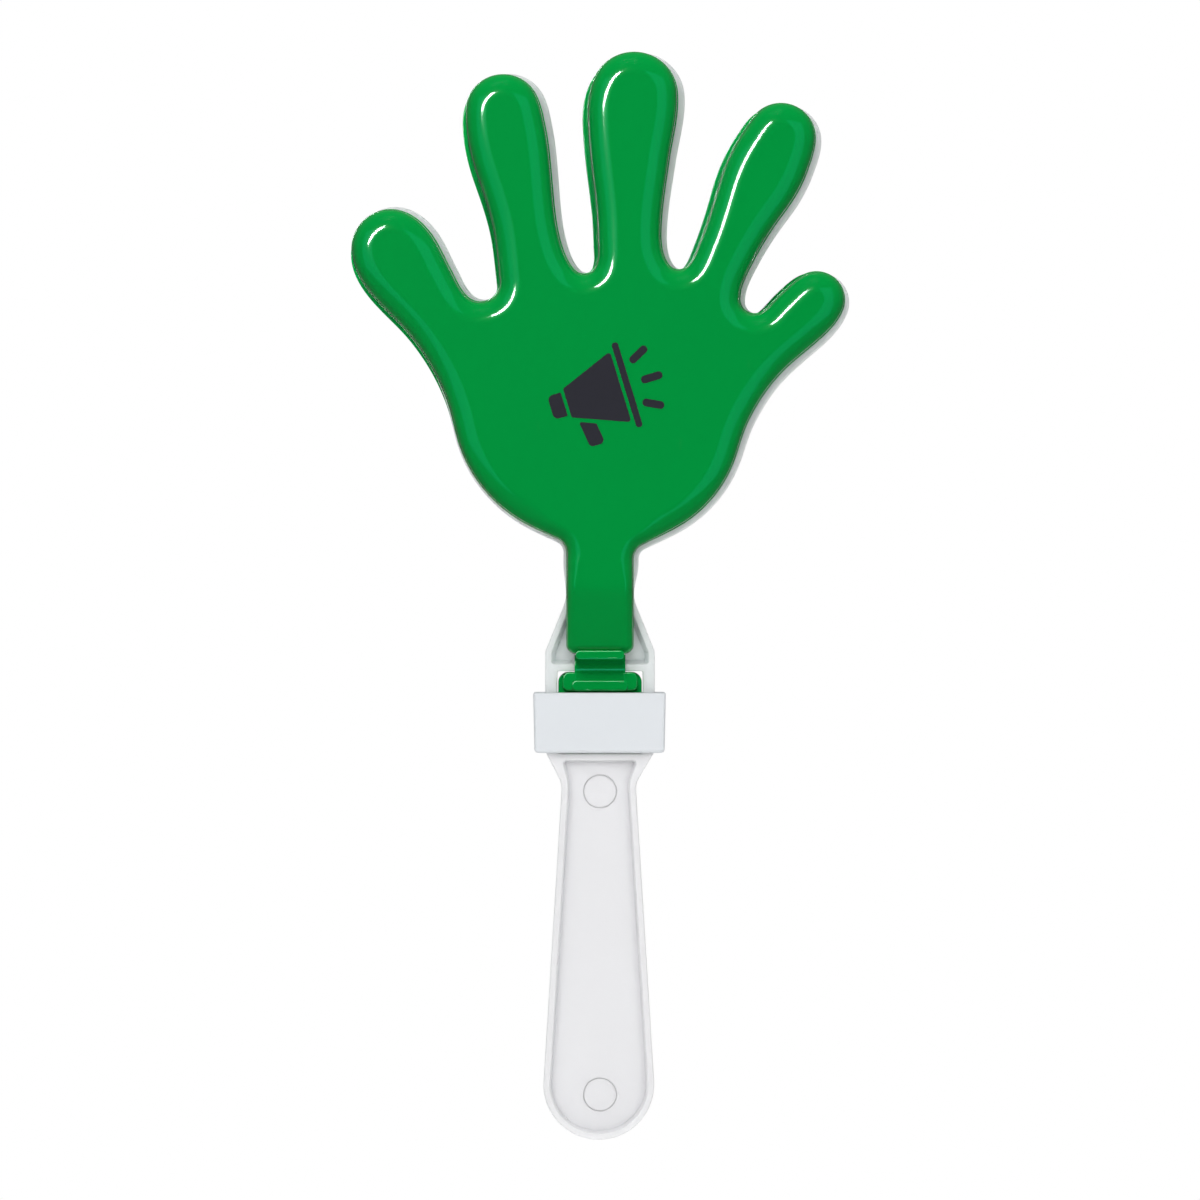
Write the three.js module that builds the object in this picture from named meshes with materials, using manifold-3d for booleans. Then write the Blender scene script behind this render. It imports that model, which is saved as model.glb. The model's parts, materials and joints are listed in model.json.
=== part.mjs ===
// A hand clapper: a white handle that ends in a hand, with two green hands hinged on its faces.
// Shaking it claps the green hands against the white one.
// Millimetres. X is to the right, Y to the back and Z up. The origin is the middle of the grip.
import * as THREE from "three";
import { mergeVertices } from "three/addons/utils/BufferGeometryUtils.js";
import Module from "manifold-3d";

// Driving dimensions of the white handle.
const handleThickness = 7;
const webThickness = 1.6;
const gripLength = 98.9;
const gripEndWidth = 28.4;
const gripWaistWidth = 19.2;
const gripWaistRadius = 6;
const gripRim = 1.6;
const pocketDraft = 1;
const shoulderHeight = 9.2;
const shoulderWidth = 27;
const shoulderRadius = 1.2;
const lowerBarHeight = 1.8;
const frameWidth = 28;
const frameRim = 1.6;
const cheekHeight = 3.3;
const cheekRadius = 3;
const neckHeight = 16.4;
const neckRadius = 8;
const windowWidth = 21.9;
const windowHeight = 21;
const windowCorner = 0.6;
const crossbarHeight = 1.8;
const neckMargin = 0.4;
const neckTieHeight = 2;
const palmPocketDrop = 5;
const pocketCorner = 0.8;

// Driving dimensions of the three hands. handWidth goes over the thumb and the little finger.
const handWidth = 125.3;
const stemWidth = 16.6;
const stemBottomHeight = 3;
const stemCorner = 2;
const stemTopHeight = 25.5;
const neckFilletLeft = 4.5;
const neckFilletRight = 4.3;
const neckLeftHeight = 28.3;
const neckRightHeight = 26.9;
const shellDepth = 8;
const shellWall = 1.5;
const shellRoll = 5;
const lipHeight = 1;
const lipWidth = 0.4;
const shellDraft = 0.6;
const stemDepthShare = 0.45;
const stemRollShare = 0.4;
const stemDepthPower = 1.6;
const middleGrowth = 1;
const middleRim = 2.2;
const middleLean = 0.4;
const backLean = -0.45;

// Driving dimensions of the hinges, the feet and the collar.
const restOpening = 1.5;
const clapGap = 0.15;
const strapWidth = 13;
const strapThickness = 0.8;
const strapClearance = 0.35;
const strapBulge = 0.35;
const turnGap = 0.3;
const beadWidth = 12.6;
const beadHeight = 1.6;
const beadProud = 0.9;
const beadRecess = 0.1;
const footClearance = 0.25;
const footPlateRecess = 1.2;
const footPlateCorner = 2.6;
const footStepWidth = 18.7;
const footStepRecess = 0.1;
const footStepCorner = 2;
const footGap = 0.3;
const stopBarWidth = 14.4;
const stopBarHeight = 2.7;
const stopBarProud = 1.4;
const stopBarGap = 0.1;
const collarHeight = 15.4;
const collarLift = 0.5;
const collarWall = 2.7;
const collarClearance = 0.25;
const collarDraft = 0.4;
const collarCorner = 2;
const collarEdge = 0.9;
const boreCorner = 0.6;

// Fineness of the faceting: how far a facet may stray from its curve, the counts of even steps,
// and the least and greatest sizes that keep the faces sound.
const facetError = 0.15;
const cornerStep = 18;
const stemSteps = 4;
const rollSteps = 3;
const strapSteps = 6;
const leastRadius = 0.3;
const leastTurn = 2;
const longestReach = 0.6;
const edgeMargin = 0.02;
const overshoot = 1;

// Places that follow from the sizes above.
const handleFace = handleThickness / 2;
const gripEndZ = -gripLength / 2;
const shoulderZ = gripLength / 2;
const waistZ = shoulderZ - shoulderHeight;
const windowTop = shoulderZ + windowHeight;
const hingeZ = windowTop + crossbarHeight;
const hingeOut = handleFace + strapClearance + strapThickness / 2;
const axisOffRim = hingeOut - handleFace - clapGap;
const cheekZ = hingeZ + cheekHeight;
const neckZ = hingeZ + neckHeight;
const neckTop = hingeZ + stemTopHeight + shellRoll;
const stemHalf = stemWidth / 2;
const neckHalf = stemHalf + neckMargin;
const frameHalf = frameWidth / 2;
const gripHalf = gripEndWidth / 2;
const gripSlope = (gripHalf - gripWaistWidth / 2) / (waistZ - gripEndZ - gripHalf);
const collarBottom = shoulderZ + collarLift;
const collarTop = collarBottom + collarHeight;

const wasm = await Module();
wasm.setup();

const rad = THREE.MathUtils.degToRad;

// The number of straight steps that stands for a curve of a given length that turns by an angle.
function stepsFor(length, turn) {
  return Math.max(1, Math.ceil(Math.sqrt((length * turn) / (8 * facetError))));
}

// One station of an outline: a round stretch about a centre, swept between two directions.
function arc(x, z, radius, from, to) {
  return { kind: "arc", x, z, radius, from, to };
}

// One station of an outline: a point, and the direction in which the outline runs through it.
function point(x, z, heading) {
  return { kind: "point", x, z, heading };
}

// One station of an outline: a square corner that is rounded, swept between two directions.
function corner(x, z, radius, from, to) {
  return { kind: "corner", x, z, radius, from, to };
}

// The palm and the fingers from the hinge line up, clockwise from the heel of the palm, as drawn.
const drawnPalm = [
  // The heel of the palm and the thumb.
  arc(-2.4, 67.1, 35.1, 238, 199),
  point(-38.6, 66.6, 109),
  point(-48.3, 84, 129),
  point(-55.2, 91.3, 134),
  arc(-53.2, 105.9, 9.9, 182, 98),
  point(-43.1, 109.6, -54),
  point(-38.3, 100.8, -62),
  arc(-30.5, 97.3, 5, 226, 366),
  // The first finger.
  point(-26.8, 109, 99),
  point(-31.2, 124.5, 109),
  point(-34, 138, 93),
  arc(-24.7, 140.8, 9.3, 152, 48),
  point(-14.2, 137.5, -78),
  point(-12.2, 121, -85),
  point(-9.6, 105.8, -71),
  arc(-4.2, 102.7, 3.3, 225, 327),
  // The middle finger.
  point(-0.6, 109.1, 90),
  point(-1.8, 124, 97),
  point(-3.1, 139, 92),
  arc(8.7, 144.9, 10.9, 150, 5),
  point(17.5, 128.7, -98),
  point(15.4, 111, -92),
  arc(20, 103.8, 3.3, 215, 322),
  // The ring finger.
  point(25.5, 107.8, 68),
  point(30.2, 122, 74),
  point(36.5, 135.6, 56),
  arc(46.1, 134.2, 8.6, 133, 5),
  point(52.7, 125.9, -109),
  point(46.6, 115, -127),
  point(38.7, 102.4, -117),
  arc(39.4, 93.2, 3.9, 178, 308),
  // The little finger.
  point(46, 94.4, 43),
  arc(55.2, 93, 7, 117, -22),
  point(55.2, 82.5, -139),
  point(45.8, 74.2, -133),
  point(37.5, 61.8, -115),
  arc(3.9, 63.3, 32.2, -19, -61),
];

// The same stations at their real size.
const drawnReach = (side) => Math.max(...drawnPalm.map((s) => side * s.x + (s.radius || 0)));
const handScale = handWidth / (drawnReach(1) + drawnReach(-1));
const palmRoute = drawnPalm.map((station) => {
  const sized = { ...station, x: station.x * handScale, z: station.z * handScale };
  if (station.radius) sized.radius = station.radius * handScale;
  return sized;
});

// The outline of a hand from the hinge line up, clockwise from the foot of its stem.
// Between the stations it runs in smooth curves.
function handRoute(bottom, cornerRadius, steps = stemSteps) {
  const leftStem = [];
  const rightStem = [];
  for (let i = 1; i <= steps; i++) {
    const z = bottom + cornerRadius + ((stemTopHeight - bottom - cornerRadius) * i) / steps;
    leftStem.push(point(-stemHalf, z, 90));
    rightStem.unshift(point(stemHalf, z, -90));
  }
  return [
    ...leftStem,
    arc(-stemHalf - neckFilletLeft, neckLeftHeight, neckFilletLeft, 0, 66),
    ...palmRoute,
    arc(stemHalf + neckFilletRight, neckRightHeight, neckFilletRight, 117, 180),
    ...rightStem,
    corner(stemHalf, bottom, cornerRadius, 0, -90),
    corner(-stemHalf, bottom, cornerRadius, -90, -180),
  ];
}

// How deep the shell is at a height above the hinge line, as a share of its depth on the palm.
function depthShare(z) {
  const t = THREE.MathUtils.clamp((z - stemBottomHeight) / (stemTopHeight - stemBottomHeight), 0, 1);
  return 1 - (1 - stemDepthShare) * (1 - t) ** stemDepthPower;
}

// How wide the rounded edge is at a height above the hinge line, as a share of that on the palm.
function rollShare(z) {
  return 1 - ((1 - stemRollShare) * (1 - depthShare(z))) / (1 - stemDepthShare);
}

// A station moved inwards, with its first and last points and headings.
function settle(station, inset) {
  const { kind, x, z, radius, from, to } = station;
  if (kind === "point") {
    const a = rad(station.heading);
    const p = [x + inset * Math.sin(a), z - inset * Math.cos(a)];
    return { points: [p], start: station.heading, end: station.heading };
  }
  const clockwise = to < from;
  let r = clockwise ? radius - inset : radius + inset;
  let cx = x;
  let cz = z;
  if (kind === "corner") {
    r = Math.max(r, leastRadius);
    const middle = rad((from + to) / 2);
    cx -= Math.sign(Math.cos(middle)) * (inset + r);
    cz -= Math.sign(Math.sin(middle)) * (inset + r);
  }
  const sweep = rad(Math.abs(to - from));
  const steps = Math.max(2, stepsFor(radius * sweep, sweep));
  const points = [];
  for (let i = 0; i <= steps; i++) {
    const a = rad(from + ((to - from) * i) / steps);
    points.push([cx + r * Math.cos(a), cz + r * Math.sin(a)]);
  }
  const turn = clockwise ? -90 : 90;
  return { points, start: from + turn, end: to + turn };
}

// How far apart two points are, and by how much two headings differ.
function stretch(p, headingP, q, headingQ) {
  const chord = Math.hypot(q[0] - p[0], q[1] - p[1]);
  const turn = Math.abs(((headingQ - headingP + 540) % 360) - 180);
  return [chord, rad(Math.max(turn, leastTurn))];
}

// The points of a smooth curve between two points with given headings, without its ends.
function joinCurve(p, headingP, q, headingQ, steps) {
  const [chord, turn] = stretch(p, headingP, q, headingQ);
  const share = (2 * Math.tan(turn / 4)) / (3 * Math.sin(turn / 2));
  const reach = Math.min(share, longestReach) * chord;
  const a = rad(headingP);
  const b = rad(headingQ);
  const curve = new THREE.CubicBezierCurve(
    new THREE.Vector2(...p),
    new THREE.Vector2(p[0] + reach * Math.cos(a), p[1] + reach * Math.sin(a)),
    new THREE.Vector2(q[0] - reach * Math.cos(b), q[1] - reach * Math.sin(b)),
    new THREE.Vector2(...q),
  );
  const points = curve.getPoints(steps).slice(1, -1);
  return points.map((v) => [v.x, v.y]);
}

// The closed outline through a list of stations, each moved inwards by its own distance.
// starts holds the place of each station's first point.
function outline(stations, insetAt) {
  const settled = stations.map((s) => settle(s, insetAt(s.z)));
  const plain = stations.map((s) => settle(s, 0));
  const points = [];
  const starts = [];
  settled.forEach((s, i) => {
    starts.push(points.length);
    points.push(...s.points);
    const next = settled[(i + 1) % settled.length];
    const last = s.points[s.points.length - 1];
    const straight = s.end === next.start && stations[i].x === stations[(i + 1) % stations.length].x;
    if (straight || stations[i].kind === "corner") return;
    const ends = plain[(i + 1) % plain.length];
    const size = stretch(plain[i].points.at(-1), s.end, ends.points[0], ends.start);
    const steps = stepsFor(...size);
    points.push(...joinCurve(last, s.end, next.points[0], next.start, steps));
  });
  return { points, starts };
}

// A BufferGeometry from vertices and faces.
function geometryOf(vertices, faces) {
  const geometry = new THREE.BufferGeometry();
  geometry.setAttribute("position", new THREE.Float32BufferAttribute(vertices.flat(), 3));
  geometry.setIndex(faces.flat());
  return geometry;
}

// A solid from a closed geometry.
function solidOf(geometry) {
  const merged = mergeVertices(geometry, 1e-4);
  const mesh = new wasm.Mesh({
    numProp: 3,
    vertProperties: merged.attributes.position.array,
    triVerts: new Uint32Array(merged.index.array),
  });
  return new wasm.Manifold(mesh);
}

// A geometry from a solid.
function geometryFrom(solid) {
  const mesh = solid.getMesh();
  const geometry = new THREE.BufferGeometry();
  geometry.setAttribute("position", new THREE.BufferAttribute(mesh.vertProperties, 3));
  geometry.setIndex(new THREE.BufferAttribute(mesh.triVerts, 1));
  geometry.computeVertexNormals();
  return geometry;
}

// The triangles that fill part of a ring, given as places in it, all turning the way that the ring does.
function fill(flat, places) {
  const contour = places.map((i) => new THREE.Vector2(...flat[i]));
  const faces = THREE.ShapeUtils.triangulateShape(contour, []);
  const areaOf = (points) => THREE.ShapeUtils.area(points);
  const filled = faces.reduce((sum, face) => sum + areaOf(face.map((k) => contour[k])), 0);
  if (filled * areaOf(contour) < 0) faces.forEach((face) => face.reverse());
  return faces.map((face) => face.map((k) => places[k]));
}

// The places from one to another, both counted.
function span(from, to) {
  return Array.from({ length: to - from + 1 }, (_, i) => from + i);
}

// The parts of a ring between cuts. Each cut joins a place early in the ring to one late in it.
function divide(count, cuts) {
  if (!cuts.length) return [span(0, count - 1)];
  const parts = [span(cuts[0][0], cuts[0][1])];
  for (let k = 0; k + 1 < cuts.length; k++)
    parts.push([...span(cuts[k + 1][0], cuts[k][0]), ...span(cuts[k][1], cuts[k + 1][1])]);
  const last = cuts[cuts.length - 1];
  parts.push([...span(0, last[0]), ...span(last[1], count - 1)]);
  return parts;
}

// A solid through rings of equal count. Its ends face along X, Y or Z, given as 0, 1 or 2.
function loft(rings, { cuts = [], facing = 1 } = {}) {
  const count = rings[0].length;
  const faces = [];
  for (let k = 0; k + 1 < rings.length; k++)
    for (let i = 0; i < count; i++) {
      const a = k * count + i;
      const b = k * count + ((i + 1) % count);
      faces.push([a, b, b + count], [a, b + count, a + count]);
    }
  const flatten = (p) => p.filter((_, axis) => axis !== facing);
  const top = (rings.length - 1) * count;
  for (const part of divide(count, cuts)) {
    for (const [a, b, c] of fill(rings[0].map(flatten), part)) faces.push([a, c, b]);
    for (const [a, b, c] of fill(rings[rings.length - 1].map(flatten), part))
      faces.push([top + a, top + b, top + c]);
  }
  const vertices = rings.flat();
  let volume = 0;
  for (const face of faces) {
    const [a, b, c] = face.map((i) => new THREE.Vector3(...vertices[i]));
    volume += a.dot(b.cross(c));
  }
  if (volume < 0) faces.forEach((face) => face.reverse());
  return solidOf(geometryOf(vertices, faces));
}

// The corners of a polygon moved inwards, each with its radius made smaller by as much.
function insetCorners(corners, inset) {
  const count = corners.length;
  const area = THREE.ShapeUtils.area(corners.map(([x, z]) => new THREE.Vector2(x, z)));
  const side = Math.sign(area) * inset;
  const lines = corners.map(([x, z], i) => {
    const [nextX, nextZ] = corners[(i + 1) % count];
    const length = Math.hypot(nextX - x, nextZ - z);
    const along = [(nextX - x) / length, (nextZ - z) / length];
    return { x: x - side * along[1], z: z + side * along[0], along };
  });
  return corners.map(([, , radius, hollow], i) => {
    const p = lines[(i + count - 1) % count];
    const q = lines[i];
    const cross = p.along[0] * q.along[1] - p.along[1] * q.along[0];
    const t = ((q.x - p.x) * q.along[1] - (q.z - p.z) * q.along[0]) / cross;
    const r = Math.max(hollow ? radius + inset : radius - inset, leastRadius);
    return [p.x + t * p.along[0], p.z + t * p.along[1], r, hollow];
  });
}

// The points of a polygon whose corners are rounded. A corner is x, z and its radius.
function roundCorners(corners) {
  const count = corners.length;
  return corners.flatMap(([x, z, radius], i) => {
    const here = new THREE.Vector2(x, z);
    const back = new THREE.Vector2(...corners[(i + count - 1) % count]).sub(here);
    const on = new THREE.Vector2(...corners[(i + 1) % count]).sub(here);
    const turn = Math.PI - Math.acos(back.dot(on) / (back.length() * on.length()));
    if (turn < 0.01) return [[x, z]];
    const room = Math.min(back.length(), on.length()) / 2;
    const reach = Math.min(radius * Math.tan(turn / 2), room - edgeMargin);
    const r = reach / Math.tan(turn / 2);
    back.normalize();
    on.normalize();
    const middle = here.clone().addScaledVector(back.clone().add(on).normalize(), r / Math.cos(turn / 2));
    const first = here.clone().addScaledVector(back, reach).sub(middle);
    const way = Math.sign(back.cross(on));
    const steps = Math.max(1, Math.round(turn / rad(cornerStep)));
    return Array.from({ length: steps + 1 }, (_, k) => {
      const p = first.clone().rotateAround(new THREE.Vector2(), (-way * turn * k) / steps).add(middle);
      return [p.x, p.y];
    });
  });
}

// A plate between two depths with a flat outline.
function plate(points, yA, yB) {
  return loft([yA, yB].map((y) => points.map(([x, z]) => [x, y, z])));
}

// Corners on the right, mirrored to the left, as one polygon.
function mirrored(right) {
  return [...right, ...right.map(([x, z, ...rest]) => [-x, z, ...rest]).reverse()];
}

// A pocket cut into a face of the handle, down to its web, with sloping walls.
function pocket(ringAt, side) {
  const rings = [
    [handleFace + overshoot, 0],
    [handleFace, 0],
    [webThickness / 2, pocketDraft],
  ];
  return loft(rings.map(([y, more]) => ringAt(more).map(([x, z]) => [x, side * y, z])));
}

// The outline of the white hand in place, moved inwards from that of the green hands.
function middleRing(inset, bottom, cornerRadius) {
  const { points } = outline(handRoute(bottom, cornerRadius, 1), () => inset);
  const c = Math.cos(rad(middleLean));
  const s = Math.sin(rad(middleLean));
  return points.map(([x, z]) => [x * c + z * s, hingeZ - x * s + z * c]);
}

// The corners of the frame and grip on the right, from the neck down: x, z, radius, and true if hollow.
const frameCorners = [
  [neckHalf, neckTop, leastRadius],
  [neckHalf, neckZ, neckRadius, true],
  [frameHalf, cheekZ, cheekRadius],
  [frameHalf, collarBottom + collarHeight / 2, cheekRadius],
  [shoulderWidth / 2, shoulderZ, shoulderRadius],
  [gripWaistWidth / 2, waistZ, gripWaistRadius, true],
  [gripHalf * (1 + gripSlope), gripEndZ, gripHalf],
];

// The white handle: a grip, a frame with a window, and a hand, all with a web between raised rims.
function handleSolid() {
  const palmBottom = stemTopHeight - palmPocketDrop;
  const tieBottom = hingeZ + palmBottom + middleRim - middleGrowth - neckTieHeight;
  let solid = plate(middleRing(-middleGrowth, palmBottom, stemCorner), -handleFace, handleFace);
  solid = solid.add(plate(roundCorners(mirrored(frameCorners)), -handleFace, handleFace));
  const panel = mirrored([
    [neckHalf, tieBottom + frameRim, pocketCorner + frameRim],
    [neckHalf, neckZ, neckRadius, true],
    [frameHalf, cheekZ, cheekRadius],
    [frameHalf, hingeZ - frameRim, pocketCorner + frameRim],
  ]);
  const grip = mirrored([
    [shoulderWidth / 2, shoulderZ - lowerBarHeight + gripRim, pocketCorner + gripRim],
    [gripWaistWidth / 2, waistZ, gripWaistRadius, true],
    [gripHalf * (1 + gripSlope), gripEndZ, gripHalf],
  ]);
  for (const side of [-1, 1]) {
    const handAt = (more) => middleRing(middleRim - middleGrowth + more, palmBottom, pocketCorner);
    const panelAt = (more) => roundCorners(insetCorners(panel, frameRim + more));
    const gripAt = (more) => roundCorners(insetCorners(grip, gripRim + more));
    for (const ringAt of [handAt, panelAt, gripAt]) solid = solid.subtract(pocket(ringAt, side));
  }
  const half = windowWidth / 2;
  const window = mirrored([
    [half, windowTop, windowCorner],
    [half, shoulderZ, windowCorner],
  ]);
  return solid.subtract(plate(roundCorners(window), -handleFace - overshoot, handleFace + overshoot));
}

// A ring of a green hand's shell about its hinge line, its open side towards the handle.
function shellRing(side, route, { roll, wall = 0, depth, floor = 0 }) {
  const { points } = outline(route, (z) => roll * rollShare(z) + wall);
  return points.map(([x, z]) => [x, side * (depth * depthShare(z) - floor - axisOffRim), z]);
}

// A green hand about its hinge line: a shell, rounded to its face, with a lip round its open side.
// The side is -1 in front of the handle and 1 behind it.
function shellSolid(side) {
  const route = handRoute(stemBottomHeight, stemCorner);
  const wallTop = shellDepth - shellRoll;
  const outer = [
    { roll: 0, depth: 0 },
    { roll: 0, depth: lipHeight },
    { roll: lipWidth, depth: lipHeight + lipWidth / 2 },
  ];
  const inner = [{ roll: 0, wall: shellWall, depth: 0, floor: overshoot }];
  for (let i = 0; i <= rollSteps; i++) {
    const a = (Math.PI / 2) * (i / rollSteps);
    const roll = shellRoll - (shellRoll - shellDraft) * Math.cos(a);
    const depth = wallTop + shellRoll * Math.sin(a);
    outer.push({ roll, depth });
    inner.push({ roll, wall: shellWall * Math.cos(a), depth, floor: shellWall * Math.sin(a) });
  }
  const { starts } = outline(route, () => 0);
  const cuts = [];
  for (let i = stemSteps; i > 0; i--) cuts.push([starts[i - 1], starts[starts.length - 2 - i]]);
  const body = loft(outer.map((r) => shellRing(side, route, r)), { cuts });
  const hollow = loft(inner.map((r) => shellRing(side, route, r)), { cuts });
  const top = stemBottomHeight + shellWall / 2;
  const bottom = stemBottomHeight - beadHeight;
  const radius = beadHeight / 2;
  const bead = mirrored([
    [beadWidth / 2, top, radius],
    [beadWidth / 2, bottom, radius],
  ]);
  const proud = shellDepth * stemDepthShare + beadProud - axisOffRim;
  const root = beadRecess - axisOffRim;
  return body.subtract(hollow).add(plate(roundCorners(bead), side * root, side * proud));
}

// A foot: a stepped plate that fills half the window, with a bar that stops the collar.
function footSolid(side) {
  const bottom = shoulderZ + footClearance;
  const top = windowTop - footClearance;
  const layer = (half, low, high, lowRadius, highRadius, from, to) =>
    plate(
      roundCorners(mirrored([[half, high, highRadius], [half, low, lowRadius]])),
      side * from,
      side * to,
    );
  const plateFace = handleFace - footPlateRecess;
  const stepFace = handleFace - footStepRecess;
  const barBottom = collarTop + stopBarGap;
  const barTop = barBottom + stopBarHeight;
  const rootFace = hingeOut + strapThickness / 2;
  const halfPlate = windowWidth / 2 - footClearance;
  const barRadius = stopBarHeight / 2;
  const base = layer(halfPlate, bottom, top, windowCorner, footPlateCorner, footGap / 2, plateFace);
  const step = layer(footStepWidth / 2, bottom, top, windowCorner, footStepCorner, plateFace / 2, stepFace);
  const bar = layer(
    stopBarWidth / 2, barBottom, barTop, barRadius, barRadius, stepFace / 2, handleFace + stopBarProud,
  );
  const rootBottom = barTop - barRadius;
  const root = layer(strapWidth / 2, rootBottom, top, leastRadius, leastRadius, stepFace / 2, rootFace);
  return base.add(step).add(bar).add(root);
}

// A thin strap, bowed outwards, from the foot to the bead of a green hand.
function strapSolid(side) {
  const low = windowTop - footClearance;
  const high = hingeZ + stemBottomHeight - beadHeight - turnGap;
  const profile = [];
  for (const [out, order] of [[0, 1], [strapThickness, -1]])
    for (let i = 0; i <= strapSteps; i++) {
      const t = order > 0 ? i / strapSteps : 1 - i / strapSteps;
      const bow = strapBulge * Math.sin(Math.PI * t) ** 2;
      profile.push([hingeOut - strapThickness / 2 + out + bow, low + (high - low) * t]);
    }
  const rings = [-strapWidth / 2, strapWidth / 2].map((x) => profile.map(([y, z]) => [x, side * y, z]));
  return loft(rings, { facing: 0 });
}

// The collar that locks both feet in the window: a ring of rectangular section round the frame.
function collarSolid() {
  const depthHalf = handleFace + collarClearance + collarWall;
  const widthHalf = frameHalf + collarClearance + collarWall;
  const edgeStep = collarEdge * (1 - Math.SQRT1_2);
  const ringAt = (z, inset) => {
    const draft = (collarDraft * (collarTop - z)) / collarHeight;
    const corners = mirrored([
      [widthHalf - draft - inset, depthHalf - inset, collarCorner],
      [widthHalf - draft - inset, inset - depthHalf, collarCorner],
    ]);
    return roundCorners(corners).map(([x, y]) => [x, y, z]);
  };
  const body = loft(
    [
      ringAt(collarBottom, collarEdge / 2),
      ringAt(collarBottom + collarEdge / 2, 0),
      ringAt(collarTop - collarEdge, 0),
      ringAt(collarTop - edgeStep, edgeStep),
      ringAt(collarTop, collarEdge),
    ],
    { facing: 2 },
  );
  const bore = roundCorners(
    mirrored([
      [frameHalf + collarClearance, handleFace + collarClearance, boreCorner],
      [frameHalf + collarClearance, -handleFace - collarClearance, boreCorner],
    ]),
  );
  const ends = [collarBottom - overshoot, collarTop + overshoot];
  return body.subtract(loft(ends.map((z) => bore.map(([x, y]) => [x, y, z])), { facing: 2 }));
}

const white = new THREE.MeshStandardMaterial({ color: 0xe6e6e8, roughness: 0.45, metalness: 0 });
const collarWhite = new THREE.MeshStandardMaterial({ color: 0xdfe3e7, roughness: 0.35, metalness: 0 });
const green = new THREE.MeshStandardMaterial({ color: 0x018f3b, roughness: 0.22, metalness: 0 });

// A named sub-part from its solid.
function piece(name, solid, material) {
  const mesh = new THREE.Mesh(geometryFrom(solid), material);
  mesh.name = name;
  return mesh;
}

// A green hand turned about its hinge line to where it hangs at rest.
function hinged(name, side, lean) {
  const group = new THREE.Group();
  group.position.set(0, side * hingeOut, hingeZ);
  group.rotation.set(-side * rad(restOpening), rad(lean), 0, "XYZ");
  group.add(piece(name, shellSolid(side), green));
  return group;
}

const clapper = new THREE.Group();
clapper.name = "hand_clapper";
clapper.add(
  piece("handle", handleSolid(), white),
  piece("collar", collarSolid(), collarWhite),
  piece("front_hinge_foot", footSolid(-1), green),
  piece("front_hinge_strap", strapSolid(-1), green),
  hinged("front_hand", -1, 0),
  piece("back_hinge_foot", footSolid(1), green),
  piece("back_hinge_strap", strapSolid(1), green),
  hinged("back_hand", 1, backLean),
);

export default clapper;
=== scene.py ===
"""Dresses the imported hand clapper: smooth mouldings, living hinges, plastics, and a pale studio.

Sizes are in millimetres until a mesh is made, and in metres from there on.
X is to the right, Y to the back and Z up, with the origin in the middle of the grip.
"""
import json
import math

import bmesh
import bpy
import numpy as np
from bpy.props import FloatProperty, FloatVectorProperty, IntProperty, PointerProperty
from mathutils import Matrix, Vector
from mathutils.geometry import delaunay_2d_cdt, tessellate_polygon

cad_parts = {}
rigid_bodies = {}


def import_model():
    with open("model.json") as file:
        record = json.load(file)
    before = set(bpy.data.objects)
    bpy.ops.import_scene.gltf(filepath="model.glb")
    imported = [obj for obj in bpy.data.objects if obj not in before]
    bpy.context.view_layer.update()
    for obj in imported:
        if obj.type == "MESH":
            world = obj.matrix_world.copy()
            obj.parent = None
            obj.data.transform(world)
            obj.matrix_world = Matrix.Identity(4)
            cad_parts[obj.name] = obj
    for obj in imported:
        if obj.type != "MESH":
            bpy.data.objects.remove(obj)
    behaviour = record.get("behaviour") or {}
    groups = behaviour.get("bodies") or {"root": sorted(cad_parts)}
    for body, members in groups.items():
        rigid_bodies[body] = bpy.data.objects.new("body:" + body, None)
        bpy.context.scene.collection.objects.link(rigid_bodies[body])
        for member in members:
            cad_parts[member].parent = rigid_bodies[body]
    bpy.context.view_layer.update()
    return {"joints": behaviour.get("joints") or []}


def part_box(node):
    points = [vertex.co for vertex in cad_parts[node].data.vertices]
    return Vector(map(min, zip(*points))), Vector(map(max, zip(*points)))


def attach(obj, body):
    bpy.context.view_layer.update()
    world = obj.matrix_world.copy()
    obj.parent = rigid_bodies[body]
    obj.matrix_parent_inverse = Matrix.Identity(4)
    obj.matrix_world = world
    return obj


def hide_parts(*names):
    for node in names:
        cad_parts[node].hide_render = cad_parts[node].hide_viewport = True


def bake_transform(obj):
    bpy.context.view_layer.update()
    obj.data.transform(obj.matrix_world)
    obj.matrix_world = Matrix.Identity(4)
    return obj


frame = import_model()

bl_info = {
    "name": "Hand Clapper",
    "version": (1, 0, 0),
    "blender": (4, 5, 0),
    "location": "3D View > Sidebar > Clapper",
    "description": "Builds the looks of a hand clapper round its packed CAD frame",
    "category": "Object",
}

MM = 0.001
FRONT, BACK = -1, 1
SIDE_NAMES = {FRONT: "front", BACK: "back"}

# The white handle.
HANDLE_FACE = 3.5
WEB_FACE = 0.8
GRIP_END = -49.45
GRIP_HALF = 14.2
SHOULDER = 49.45
SHOULDER_HALF = 13.75
SHOULDER_RADIUS = 1.2
WAIST = 41.65
WAIST_HALF = 9.45
WAIST_RADIUS = 6
GRIP_POCKET_HALF = 11.8
GRIP_SHIFT = -0.3
GRIP_SLOPE = (GRIP_HALF - WAIST_HALF) / (WAIST - GRIP_END - GRIP_HALF)
FRAME_HALF = 14
RIM = 1.6
LEAST_RADIUS = 0.3
WINDOW_HALF = 10.95
WINDOW_TOP = 70.45
WINDOW_RADIUS = 0.6
HINGE_Z = frame["joints"][0]["pos_m"][2] / MM
HINGE_OUT = abs(frame["joints"][0]["pos_m"][1]) / MM
CHEEK = HINGE_Z + 3.3
NECK = HINGE_Z + 16.4
NECK_HALF = 8.7
NECK_TOP = 102.75
PALM_POCKET = 20.5
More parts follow.
